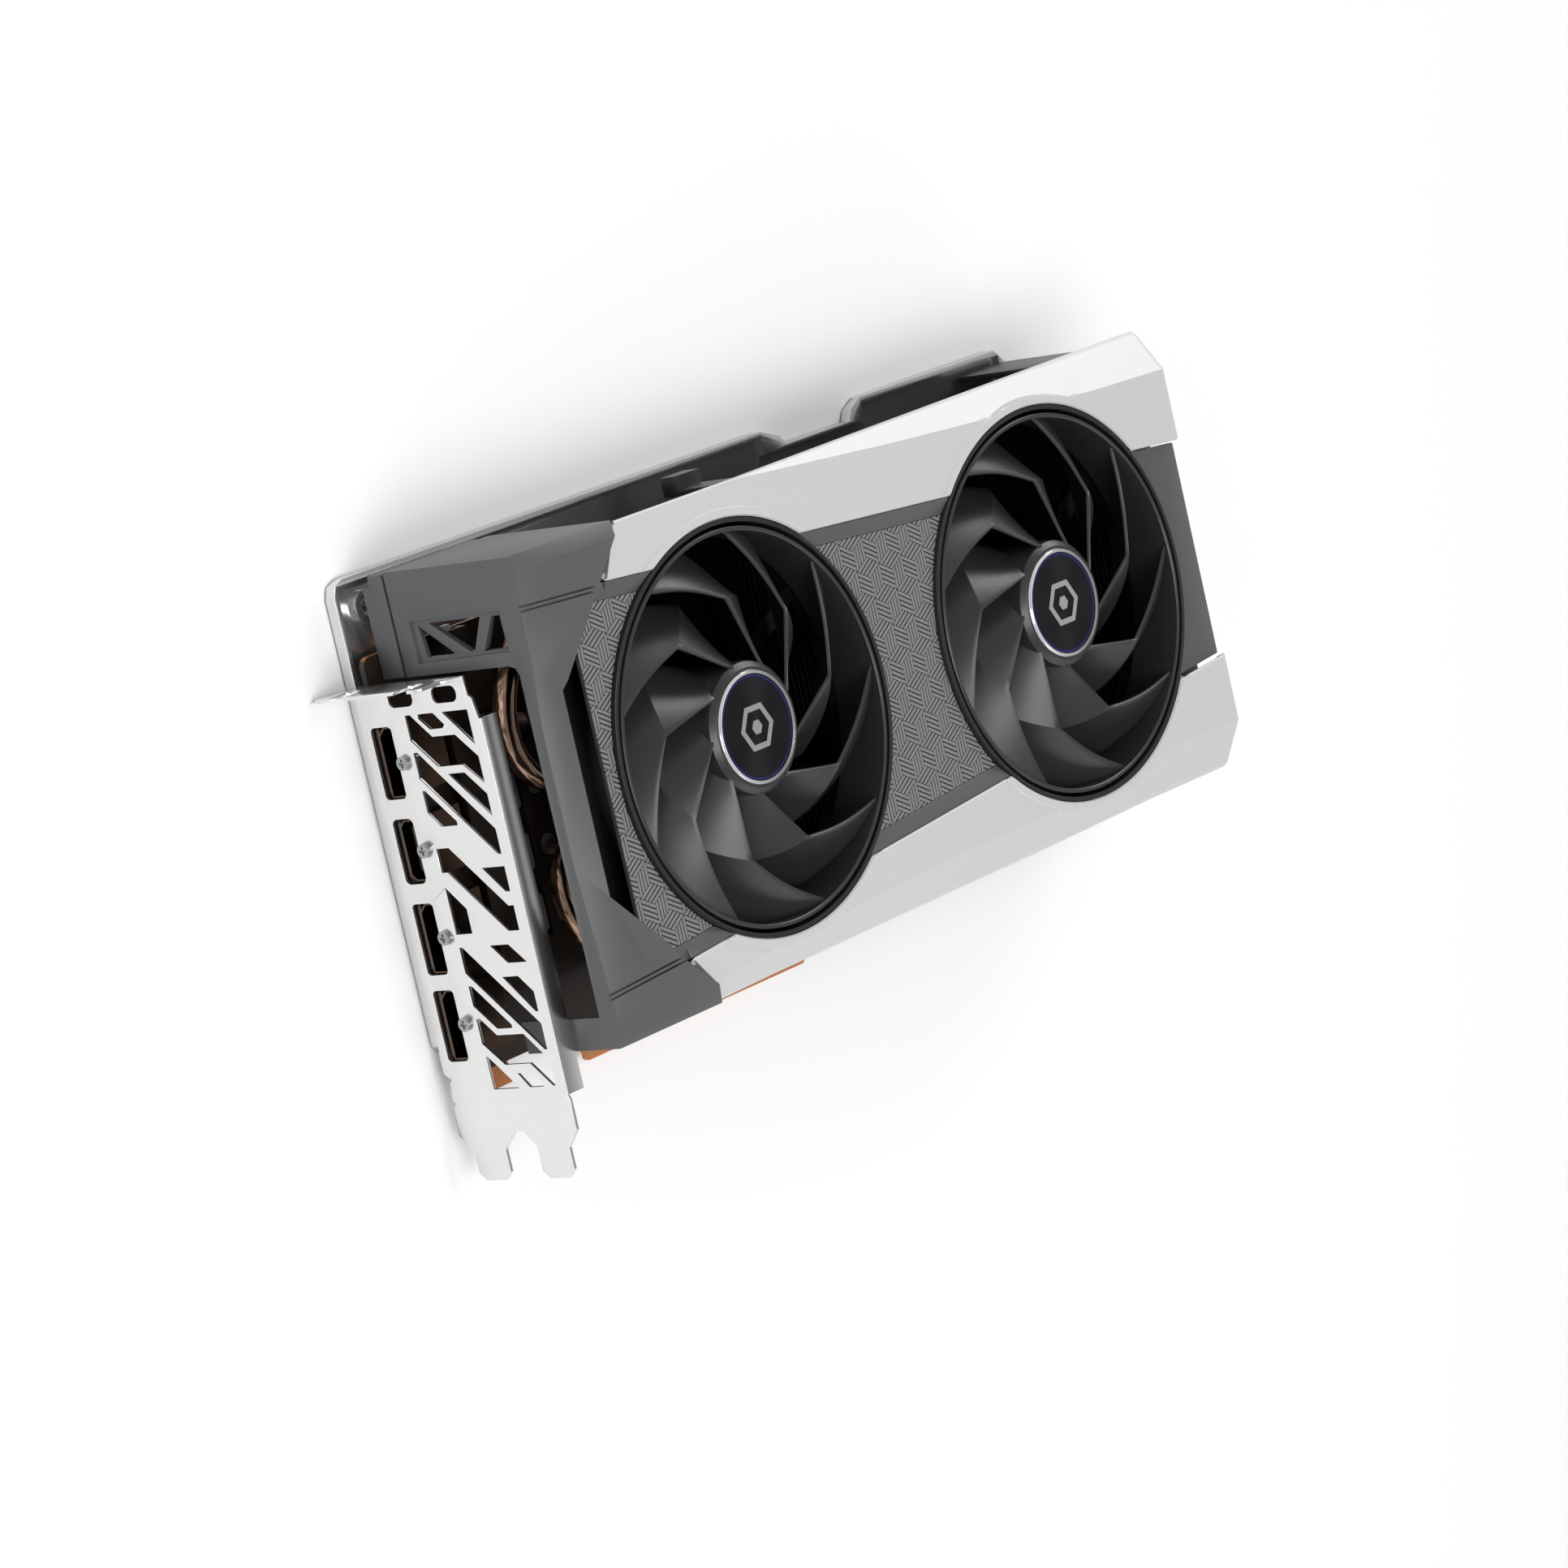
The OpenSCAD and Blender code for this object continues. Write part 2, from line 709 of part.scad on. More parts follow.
// Black deck under the front pieces, with a skirt round it and a foot that reaches the edge.
module shroud_deck() {
    foot_x = 104;
    foot_w = 9;
    foot_z = 16;
    color("#17171a") card() {
        difference() {
            union() {
                box([20, shroud_low, deck_z], [shroud_end, shroud_high, deck_z + deck_t]);
                for (y = [shroud_low, shroud_high - shroud_wall]) {
                    box([20, y, deck_z - skirt_h], [tail_start, y + shroud_wall, deck_z + deck_t]);
                }
                box([20, shroud_low, deck_z - skirt_h],
                    [20 + shroud_wall, shroud_high, deck_z + deck_t]);
                box([foot_x, shroud_high - shroud_wall, foot_z],
                    [foot_x + foot_w, shroud_high, deck_z]);
                box([foot_x, shroud_high - shroud_wall, foot_z],
                    [foot_x + foot_w, cool_top + 0.2, foot_z + 5]);
            }
            for (x = fan_xs) {
                translate([x, cooler_y, deck_z - 1])
                    cylinder(r = duct_r + duct_wall, h = deck_t + 2, $fn = 128);
            }
            for (p = shroud_holes) {
                translate([p[0], p[1], deck_z - e]) cylinder(r = 1, h = 2, $fn = 24);
            }
        }
    }
}

// The round wall that guides the air of one fan onto the fins.
module fan_duct(i) {
    low = fin_top + 0.6;
    color("#17171a") card() translate([fan_xs[i], cooler_y, low]) difference() {
        cylinder(r = duct_r + duct_wall, h = front_z - 0.3 - low, $fn = 128);
        translate([0, 0, -e]) cylinder(r = duct_r, h = front_z - low, $fn = 128);
    }
}

module fan_duct_1() { fan_duct(0); }
module fan_duct_2() { fan_duct(1); }

// The closed tail: an end wall between two short side walls, under the deck.
module shroud_tail() {
    color("#17171a") card() {
        union() {
            box([shroud_end - shroud_wall, shroud_low, 0.6], [shroud_end, shroud_high, deck_z]);
            for (y = [shroud_low, shroud_high - shroud_wall]) {
                box([tail_start, y, 0.6], [shroud_end, y + shroud_wall, deck_z]);
            }
        }
    }
}

module insert_outline(x0, x1) {
    half = [for (x = [x0, x1]) strip_in_left - 4.2
        - (x - strip_left) * (strip_in_left - strip_in_right) / (card_len - strip_left)];
    polygon([[x0, cooler_y - half[0]], [x1, cooler_y - half[1]], [x1, cooler_y + half[1]],
        [x0, cooler_y + half[0]]]);
}

// A thin front plate round the fans, on two ribs that stand on the deck.
module insert(x0, x1, rib_x, rib_y) {
    low = deck_z + deck_t;
    rib = [7, 1.5, insert_z - insert_t / 2 - low];
    color("#3c3d40") card() difference() {
        union() {
            translate([0, 0, insert_z - insert_t]) linear_extrude(insert_t) insert_outline(x0, x1);
            for (side = [-1, 1]) {
                translate([rib_x, cooler_y + side * rib_y - rib[1] / 2, low]) cube(rib);
            }
        }
        for (x = fan_xs) {
            translate([x, cooler_y, insert_z - 2]) cylinder(r = open_r, h = 4, $fn = 128);
        }
    }
}

module insert_left() { insert(24, 66, 26, 38); }
module insert_middle() { insert(100, 182, 137, 20); }

// Sloped walls between the strips' inner edges and the inserts.
module bezel_bars() {
    slope = (strip_in_left - strip_in_right) / (card_len - strip_left);
    lean = atan(slope);
    color("#45464a") card() {
        difference() {
            for (side = [-1, 1]) {
                translate([strip_left, cooler_y + side * (strip_in_left - 0.1), 0])
                    rotate([0, 0, -side * lean]) translate([-8, 0, 0])
                    rotate([90, 0, 90]) linear_extrude(160)
                    polygon([[0, front_z - 2.3], [0, front_z - 0.5], [-side * 0.6, front_z - 0.5],
                        [-side * 4, insert_z + 0.1], [-side * 4, insert_z - 1.2],
                        [side * 1, insert_z - 1.2], [side * 1, front_z - 2.3]]);
            }
            for (x = fan_xs) {
                translate([x, cooler_y, 20]) cylinder(r = open_r, h = 40, $fn = 128);
            }
            box([180, 0, 0], [300, 200, 100]);
            box([0, 0, front_z - 1.2], [37, 200, 60]);
        }
    }
}

module tail_panel() {
    color("#5b5c60") card() difference() {
        translate([0, 0, front_z - 3.6]) linear_extrude(1.6)
            polygon([[216, cooler_y - 32], [card_len - 2.2, cooler_y - 28.2],
                [card_len - 2.2, cooler_y + 28.2], [216, cooler_y + 32]]);
        translate([fan_xs[1], cooler_y, 20]) cylinder(r = open_r, h = 40, $fn = 128);
    }
}

module shroud_screws() {
    color("gray") card() {
        for (p = shroud_holes) {
            translate([p[0], p[1], deck_z + deck_t + 0.9]) screw(1.9, 0.9, 0.9, 4);
        }
    }
}

// ---- End cap ---------------------------------------------------------------------------------

// Front outline of the cap in X and Y: deep at the top and bottom, narrow in the middle.
module cap_outline() {
    polygon([[cap_x, cool_bot], [44, cool_bot], [43.8, cool_bot + 2.8], [33, 42.6],
        [29.6, 47], [13.4, 63], [13.6, 112.4], [16, 114.6], [33, 131.6], [34.8, 133.6],
        [42.6, 142.4], [44, cool_top - 0.4], [44, cool_top], [cap_x, cool_top]]);
}

module cap_roof() {
    // a flat roof with a long chamfer at each side edge and a shallow facet in the middle
    difference() {
        box([0, 0, -10], [60, 170, cap_z]);
        for (side = [-1, 1]) {
            translate([0, cooler_y + side * (cooler_w / 2 - 4.4), cap_z]) rotate([-side * 28, 0, 0])
                translate([-e, side > 0 ? 0 : -20, 0]) cube([80, 20, 20]);
        }
        translate([cap_x + 9.5, cooler_y, cap_z]) rotate([0, -11, 0])
            translate([-30, -19, 0]) cube([30, 38, 20]);
    }
}

module cap_body() {
    intersection() {
        cap_roof();
        translate([0, 0, -2]) linear_extrude(60) cap_outline();
    }
}

module end_cap() {
    color("#4a4b4f") card() {
        difference() {
            union() {
                // front skin
                difference() {
                    cap_body();
                    translate([0, 0, -2.2]) cap_roof();
                }
                // end wall of the block, split from the corner piece by a seam
                box([cap_x, block_y, seam_z], [cap_x + wall, cool_top, cap_z - 3]);
                box([cap_x, cool_top - wall, seam_z], [44, cool_top, cap_z - 3]);
                box([cap_x, block_y, seam_z], [cap_x + 13.4, block_y + wall, cap_z - 2]);
                // column beside the large window
                box([cap_x, cool_bot + 1, 47.4], [cap_x + 3, cool_top - 2, cap_z - 2.6]);
                // bottom bar
                box([cap_x, cool_bot, 22], [cap_x + 3, 36.3, cap_z - 3]);
                box([cap_x, cool_bot, 22], [44, cool_bot + wall, cap_z - 3]);
            }
            // window with two struts
            translate([cap_x - e, 0, 0]) rotate([90, 0, 90]) linear_extrude(wall + 1) union() {
                polygon([[132.6, 18.4], [124.8, 19.4], [124.8, 27.2]]);
                polygon([[132.9, 22.6], [132.9, 37.2], [125.4, 34.2], [125.4, 33.2]]);
                polygon([[132.8, 42.6], [132.8, 44], [124.8, 45], [124.8, 38.6]]);
            }
            translate([cap_x - e, 0, 0]) rotate([90, 0, 90]) linear_extrude(0.7)
                polygon([[133.9, 16.6], [123.9, 16.9], [124.2, 46], [134, 45.4]]);
            // grooves across the front
            for (y = [134, 41]) {
                box([cap_x - e, y, cap_z - 0.5], [34.6, y + 0.5, cap_z + 1]);
                box([cap_x - e, y - 1.2, cap_z - 0.5], [34.6, y - 0.7, cap_z + 1]);
            }
        }
    }
}

module cap_corner() {
    color("#4a4b4f") card() {
        union() {
            box([cap_x, block_y, 4.3], [cap_x + wall, cool_top - 3, seam_z - 0.4]);
            box([cap_x, cool_top - 3, 6.6], [cap_x + wall, cool_top, seam_z - 0.4]);
            box([cap_x, cool_top - wall, 6.6], [44, cool_top, seam_z - 0.4]);
            box([cap_x, block_y, 4.3], [cap_x + 13.4, block_y + wall, seam_z - 0.4]);
        }
    }
}

// ---- Fans ------------------------------------------------------------------------------------

// Fixed base: a disc on three struts that reach the duct's wall, with the bearing's seat.
module fan_mount(i) {
    color("#222225") card() translate([fan_xs[i], cooler_y, 0]) difference() {
        union() {
            translate([0, 0, mount_z]) cylinder(r = hub_r, h = 1.6);
            for (turn = [30, 150, 270]) {
                rotate([0, 0, turn]) translate([hub_r - 1, -2, mount_z])
                    cube([duct_r - hub_r + 0.9, 4, 1.6]);
            }
            translate([0, 0, mount_z]) cylinder(r = 4.6, h = 3);
        }
        translate([0, 0, mount_z + 0.6]) cylinder(r = 3.6, h = 6);
    }
}

module bearing(i) {
    color("#b08d57") card() translate([fan_xs[i], cooler_y, mount_z + 0.6]) difference() {
        cylinder(r = 3.6, h = 12);
        translate([0, 0, 0.6]) cylinder(r = shaft_r + shaft_gap, h = 12);
    }
}

module stator(i) {
    color("#9a5b2e") card() translate([fan_xs[i], cooler_y, mount_z + 3.2]) difference() {
        union() {
            cylinder(r = 6, h = 7.6);
            for (turn = [0 : 90 : 270]) {
                rotate([0, 0, turn]) {
                    translate([5, -2.4, 0.8]) cube([5, 4.8, 6]);
                    translate([9.4, -4.6, 0.8]) cube([1.8, 9.2, 6]);
                }
            }
        }
        translate([0, 0, -e]) cylinder(r = 3.6, h = 10);
    }
}

module fan_shaft(i) {
    color("silver") card() translate([fan_xs[i], cooler_y, mount_z + 1.5])
        cylinder(r = shaft_r, h = hub_top - 2 - mount_z - 1.5);
}

module magnet_ring(i) {
    color("#333333") card() translate([fan_xs[i], cooler_y, hub_low + 1]) difference() {
        cylinder(r = hub_r - 1.4, h = 8.4);
        translate([0, 0, -e]) cylinder(r = hub_r - 3, h = 9);
    }
}

// A flat plate whose front edge runs from a to b; it falls away clockwise, pitch degrees off upright.
module blade_plate(a, b, pitch, more) {
    thick = 1.3;
    past = 2; // beyond the planes that trim it
    way = b - a;
    tall = (blade_high - blade_low) / cos(pitch) + past;
    translate([a[0], a[1], blade_high]) rotate([0, 0, atan2(way[1], way[0])])
        rotate([-pitch, 0, 0]) translate([-0.4, -thick, -tall])
        cube([norm(way) + more, thick, tall + past]);
}

// One blade in two flat, pitched pieces that meet at the kink.
module blade() {
    root_turn = -29.8;
    tip_turn = 34.7;
    kink = [kink_r, 0];
    root = (hub_r - 1) * [cos(root_turn), sin(root_turn)];
    tip = (rim_r - 0.4) * [cos(tip_turn), sin(tip_turn)];
    blade_plate(root, kink, 42, 0.8);
    blade_plate(kink, tip, 56, 6);
}

module rotor(i) {
    rim = 1.1;
    color("#2c2d30") card() translate([fan_xs[i], cooler_y, 0]) union() {
        difference() {
            translate([0, 0, hub_low]) cylinder(r = hub_r, h = hub_top - hub_low);
            translate([0, 0, hub_low - e]) cylinder(r = hub_r - 1.4, h = hub_top - hub_low - 2.6);
            translate([0, 0, hub_low]) cylinder(r = shaft_r, h = hub_top - hub_low - 2);
            translate([0, 0, hub_top - 1]) cylinder(r = hub_r - 1.2, h = 2);
        }
        difference() {
            translate([0, 0, blade_low]) cylinder(r = rim_r, h = front_z - 0.2 - blade_low, $fn = 128);
            translate([0, 0, blade_low - e]) cylinder(r = rim_r - rim, h = 20, $fn = 128);
        }
        intersection() {
            for (n = [0 : blades - 1]) {
                rotate([0, 0, 9.3 + n * 360 / blades]) blade();
            }
            difference() {
                translate([0, 0, blade_low]) cylinder(r = rim_r - 0.5, h = blade_high - blade_low, $fn = 128);
                translate([0, 0, blade_low - e]) cylinder(r = hub_r - 0.6, h = 20);
            }
        }
    }
}

module hub_ring(i) {
    color("gainsboro") card() translate([fan_xs[i], cooler_y, hub_top - 1]) difference() {
        cylinder(r = hub_r - 1.25, h = 1.3);
        translate([0, 0, -e]) cylinder(r = hub_r - 3.4, h = 2);
    }
}

module hub_badge(i) {
    color("#101018") card() translate([fan_xs[i], cooler_y, hub_top - 1])
        cylinder(r = hub_r - 3.45, h = 1.1);
}

module fan_mount_1() { fan_mount(0); }
module fan_mount_2() { fan_mount(1); }
module stator_1() { stator(0); }
module stator_2() { stator(1); }
module bearing_1() { bearing(0); }
module bearing_2() { bearing(1); }
module fan_shaft_1() { fan_shaft(0); }
module fan_shaft_2() { fan_shaft(1); }
module rotor_1() { rotor(0); }
module rotor_2() { rotor(1); }
module magnet_ring_1() { magnet_ring(0); }
module magnet_ring_2() { magnet_ring(1); }
module hub_ring_1() { hub_ring(0); }
module hub_ring_2() { hub_ring(1); }
module hub_badge_1() { hub_badge(0); }
module hub_badge_2() { hub_badge(1); }

// ---- Drawing ---------------------------------------------------------------------------------

bracket();
bracket_screws();
display_socket_1();
display_socket_2();
display_socket_3();
media_socket();
socket_tongues();
circuit_board();
edge_contacts();
processor_package();
processor_die();
memory_chips();
memory_pads();
power_coils();
capacitors();
power_stages();
power_socket();
power_pins();
fan_headers();
switch_body();
switch_slider();
cold_plate();
base_plate();
heat_pipes();
fin_stack();
cooler_screws();
retention_plate();
backplate();
backplate_screws();
shroud_deck();
fan_duct_1();
fan_duct_2();
shroud_tail();
insert_left();
insert_middle();
bezel_bars();
tail_panel();
top_strip();
bottom_strip();
end_cap();
cap_corner();
shroud_screws();
fan_mount_1();
fan_mount_2();
stator_1();
stator_2();
bearing_1();
bearing_2();
fan_shaft_1();
fan_shaft_2();
rotor_1();
rotor_2();
magnet_ring_1();
magnet_ring_2();
hub_ring_1();
hub_ring_2();
hub_badge_1();
hub_badge_2();
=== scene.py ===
import math

import bmesh
import bpy
from mathutils import Matrix, Vector


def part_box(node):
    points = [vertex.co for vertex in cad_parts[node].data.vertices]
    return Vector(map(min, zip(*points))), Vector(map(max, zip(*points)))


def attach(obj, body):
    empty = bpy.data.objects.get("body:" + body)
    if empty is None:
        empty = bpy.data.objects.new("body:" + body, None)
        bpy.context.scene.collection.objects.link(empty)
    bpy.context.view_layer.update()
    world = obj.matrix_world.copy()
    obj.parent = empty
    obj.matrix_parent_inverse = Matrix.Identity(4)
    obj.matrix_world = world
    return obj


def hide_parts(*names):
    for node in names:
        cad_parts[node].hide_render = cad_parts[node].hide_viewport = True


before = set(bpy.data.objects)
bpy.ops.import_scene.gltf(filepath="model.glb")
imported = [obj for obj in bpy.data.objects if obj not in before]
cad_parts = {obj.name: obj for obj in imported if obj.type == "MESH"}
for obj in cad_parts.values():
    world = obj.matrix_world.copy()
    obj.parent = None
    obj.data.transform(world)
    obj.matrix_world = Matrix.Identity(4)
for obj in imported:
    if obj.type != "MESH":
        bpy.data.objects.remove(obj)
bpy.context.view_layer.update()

# ---- Sizes, in millimetres from the bracket's corner -------------------------------------------

MM = 0.001
FLANGE = 11.43          # reach of the flange past the bracket's face
BACK = 3.0              # the backplate's depth behind the bracket's corner
CARD_LEN = 266.0        # bracket's face to the tail
MID_Y = 87.1            # cooler's centre line
HALF_W = 58.5           # half the cooler's width
FRONT = 52.0            # front plane of the strips
INSERT = 50.5           # top of the inserts
EDGE_TAB = 24.3         # top of the contact edge's tab
CAP_X = 6.4             # end face of the cap
CAP_Z = 53.4            # highest ridge of the cap
FANS = (78.2, 203.1)    # fan axes along the card
OPEN_R = 50.55          # the strips' opening round a fan
LIP_R = 53.0            # outside of the lip round that opening
RIM_R = 48.2            # outside of a rotor's rim
HUB_R = 16.2            # outside of a rotor's hub
BLADES = 9
STRIP_LEFT = 38.0       # left end of the strips' inner edge
STRIP_IN = (45.7, 28.6)  # half gap between the strips at their left and right ends

CORNER = Vector((
    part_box("bracket")[0].x + FLANGE * MM,
    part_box("bracket")[0].y,
    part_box("backplate")[0].z + BACK * MM,
))


# ---- Mesh helpers ------------------------------------------------------------------------------

def add(name, mesh):
    """A new object at the origin, holding a mesh that is already in its place."""
    piece = bpy.data.objects.new(name, mesh)
    bpy.context.scene.collection.objects.link(piece)
    return piece


def to_row(bm):
    """Turns millimetres from the bracket's corner into metres in the row's frame."""
    for v in bm.verts:
        v.co = CORNER + v.co * MM


def build(name, bm, placed=True):
    """An object from a bmesh in millimetres."""
    if placed:
        to_row(bm)
    mesh = bpy.data.meshes.new(name)
    bm.to_mesh(mesh)
    bm.free()
    return add(name, mesh)


def polygons(name, points, faces, placed=True):
    bm = bmesh.new()
    verts = [bm.verts.new(p) for p in points]
    for face in faces:
        bm.faces.new([verts[i] for i in face])
    bmesh.ops.remove_doubles(bm, verts=bm.verts, dist=0.001)
    bmesh.ops.recalc_face_normals(bm, faces=bm.faces)
    return build(name, bm, placed)


def prism(bm, outline, low, high, axis="z"):
    """A closed prism: a plane outline drawn from low to high along an axis."""
    def at(p, level):
        return {"z": (p[0], p[1], level), "x": (level, p[0], p[1])}[axis]
    bottom = [bm.verts.new(at(p, low)) for p in outline]
    top = [bm.verts.new(at(p, high)) for p in outline]
    count = len(outline)
    bm.faces.new(bottom[::-1])
    bm.faces.new(top)
    for i in range(count):
        bm.faces.new((bottom[i], bottom[(i + 1) % count], top[(i + 1) % count], top[i]))
    bmesh.ops.recalc_face_normals(bm, faces=bm.faces)


def lathe(bm, centre, profile, sides=128):
    """A closed ring or disc: a closed profile of (radius, z) turned about an upright axis."""
    rings = []
    for radius, z in profile:
        if radius == 0:
            rings.append([bm.verts.new((centre[0], centre[1], z))] * sides)
            continue
        rings.append([
            bm.verts.new((
                centre[0] + radius * math.cos(math.tau * i / sides),
                centre[1] + radius * math.sin(math.tau * i / sides),
                z,
            )) for i in range(sides)
        ])
    for a, b in zip(rings, rings[1:] + rings[:1]):
        for i in range(sides):
            j = (i + 1) % sides
            corners = list(dict.fromkeys((a[i], a[j], b[j], b[i])))
            if len(corners) > 2:
                bm.faces.new(corners)
    bmesh.ops.recalc_face_normals(bm, faces=bm.faces)


def baked(piece):
    """Turns the live modifiers into plain mesh."""
    bpy.context.view_layer.update()
    evaluated = piece.evaluated_get(bpy.context.evaluated_depsgraph_get())
    mesh = bpy.data.meshes.new_from_object(evaluated)
    piece.modifiers.clear()
    piece.data = mesh
    return piece


def solidify(piece, thickness):
    """Gives a skin a wall on its inner side."""
    m = piece.modifiers.new("wall", "SOLIDIFY")
    m.thickness = thickness * MM
    m.offset = -1.0
    m.use_even_offset = True
    return baked(piece)


def rounded(piece, width, segments=2, angle=30):
    m = piece.modifiers.new("edges", "BEVEL")
    m.width = width * MM
    m.segments = segments
    m.limit_method = "ANGLE"
    m.angle_limit = math.radians(angle)
    m.miter_outer = "MITER_ARC"
    return baked(piece)


def smooth(piece, angle=35):
    """Smooth shading that keeps edges over an angle sharp."""
    mesh = piece.data
    bm = bmesh.new()
    bm.from_mesh(mesh)
    limit = math.radians(angle)
    for edge in bm.edges:
        edge.smooth = len(edge.link_faces) == 2 and edge.calc_face_angle(0) < limit
    for face in bm.faces:
        face.smooth = True
    bm.to_mesh(mesh)
    bm.free()
    return piece


def combined(piece, other, operation):
    """Cuts a piece by another's volume, or trims it to that volume."""
    m = piece.modifiers.new("volume", "BOOLEAN")
    m.operation = operation
    m.solver = "EXACT"
    m.object = other
    return baked(piece)


def cut(piece, cutter):
    """Takes the cutter's volume out of a piece and drops the cutter."""
    combined(piece, cutter, "DIFFERENCE")
    bpy.data.objects.remove(cutter)
    return piece


def merged(name, pieces):
    """One object from several."""
    bm = bmesh.new()
    for piece in pieces:
        bm.from_mesh(piece.data)
        bpy.data.objects.remove(piece)
    return build(name, bm, placed=False)


def copy_of(node, name):
    """A welded copy of a CAD node's mesh, with its flat faces whole again."""
    bm = bmesh.new()
    bm.from_mesh(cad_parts[node].data)
    bmesh.ops.remove_doubles(bm, verts=bm.verts, dist=2e-6)
    bmesh.ops.dissolve_limit(
        bm, angle_limit=math.radians(1), verts=bm.verts, edges=bm.edges, delimit={"NORMAL"})
    bmesh.ops.triangulate(bm, faces=[f for f in bm.faces if len(f.verts) > 60])
    return build(name, bm, placed=False)


def wear(piece, body, material, slot, *nodes):
    """Gives a finished piece its material and its body; the slot is not used."""
    piece.data.materials.clear()
    piece.data.materials.append(material)
    for p in piece.data.polygons:
        p.material_index = 0
    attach(piece, body)
    if nodes:
        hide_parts(*nodes)
    return piece


# ---- Material helpers --------------------------------------------------------------------------

def socketed(name, inputs, outputs):
    """A shader node group with its named sockets, and its start and end."""
    group = bpy.data.node_groups.new(name, "ShaderNodeTree")
    for label, kind, value in inputs:
        s = group.interface.new_socket(label, in_out="INPUT", socket_type=kind)
        s.default_value = value
    for label, kind in outputs:
        group.interface.new_socket(label, in_out="OUTPUT", socket_type=kind)
    start = group.nodes.new("NodeGroupInput")
    end = group.nodes.new("NodeGroupOutput")
    return group, start, end


def grain_group():
    """Moulded or painted grain: a colour that drifts a little, a roughness that varies, a fine bump."""
    group, start, end = socketed("moulded grain", [
        ("Colour", "NodeSocketColor", (0.5, 0.5, 0.5, 1)),
        ("Drift", "NodeSocketFloat", 0.1),
        ("Roughness", "NodeSocketFloat", 0.5),
        ("Spread", "NodeSocketFloat", 0.1),
        ("Scale", "NodeSocketFloat", 2500.0),
        ("Depth", "NodeSocketFloat", 0.1),
    ], [
        ("Colour", "NodeSocketColor"),
        ("Roughness", "NodeSocketFloat"),
        ("Normal", "NodeSocketVector"),
    ])
    n, link = group.nodes.new, group.links.new
    where = n("ShaderNodeTexCoord")
    fine = n("ShaderNodeTexNoise")
    fine.inputs["Detail"].default_value = 3
    broad = n("ShaderNodeTexNoise")
    broad.inputs["Scale"].default_value = 35
    broad.inputs["Detail"].default_value = 4
    link(where.outputs["Object"], fine.inputs["Vector"])
    link(where.outputs["Object"], broad.inputs["Vector"])
    link(start.outputs["Scale"], fine.inputs["Scale"])
    centred = n("ShaderNodeMath")
    centred.operation = "SUBTRACT"
    centred.inputs[1].default_value = 0.5
    link(broad.outputs["Fac"], centred.inputs[0])
    tone = n("ShaderNodeMath")
    tone.operation = "MULTIPLY_ADD"
    tone.inputs[2].default_value = 1.0
    link(centred.outputs[0], tone.inputs[0])
    link(start.outputs["Drift"], tone.inputs[1])
    shade = n("ShaderNodeVectorMath")
    shade.operation = "SCALE"
    link(start.outputs["Colour"], shade.inputs[0])
    link(tone.outputs[0], shade.inputs["Scale"])
    link(shade.outputs[0], end.inputs["Colour"])
    speck = n("ShaderNodeMath")
    speck.operation = "SUBTRACT"
    speck.inputs[1].default_value = 0.5
    link(fine.outputs["Fac"], speck.inputs[0])
    rough = n("ShaderNodeMath")
    rough.operation = "MULTIPLY_ADD"
    link(speck.outputs[0], rough.inputs[0])
    link(start.outputs["Spread"], rough.inputs[1])
    link(start.outputs["Roughness"], rough.inputs[2])
    link(rough.outputs[0], end.inputs["Roughness"])
    bump = n("ShaderNodeBump")
    bump.inputs["Distance"].default_value = 0.00005
    link(start.outputs["Depth"], bump.inputs["Strength"])
    link(fine.outputs["Fac"], bump.inputs["Height"])
    link(bump.outputs["Normal"], end.inputs["Normal"])
    return group


GRAIN = grain_group()


def finish(name, colour, rough, metal=0.0, drift=0.15, spread=0.12, scale=2500, depth=0.15, **extra):
    """A material with the moulded grain. Extra values go straight onto the shader's sockets."""
    m = bpy.data.materials.new(name)
    m.use_nodes = True
    shader = m.node_tree.nodes["Principled BSDF"]
    grain = m.node_tree.nodes.new("ShaderNodeGroup")
    grain.node_tree = GRAIN
    values = {"Colour": (*colour, 1), "Drift": drift, "Roughness": rough, "Spread": spread,
              "Scale": scale, "Depth": depth}
    for label, value in values.items():
        grain.inputs[label].default_value = value
    link = m.node_tree.links.new
    link(grain.outputs["Colour"], shader.inputs["Base Color"])
    link(grain.outputs["Roughness"], shader.inputs["Roughness"])
    link(grain.outputs["Normal"], shader.inputs["Normal"])
    shader.inputs["Metallic"].default_value = metal
    for label, value in extra.items():
        shader.inputs[label.replace("_", " ")].default_value = value
    return m


def painted(material, mask, colour):
    """Mixes another colour over a material's own, where a mask's socket says."""
    nodes, link = material.node_tree.nodes, material.node_tree.links.new
    shader = nodes["Principled BSDF"]
    old = shader.inputs["Base Color"].links[0].from_socket
    mix = nodes.new("ShaderNodeMix")
    mix.data_type = "RGBA"
    first, second = [s for s in mix.inputs if s.type == "RGBA"]
    second.default_value = (*colour, 1)
    link(mask, mix.inputs[0])
    link(old, first)
    link([s for s in mix.outputs if s.type == "RGBA"][0], shader.inputs["Base Color"])
    return material


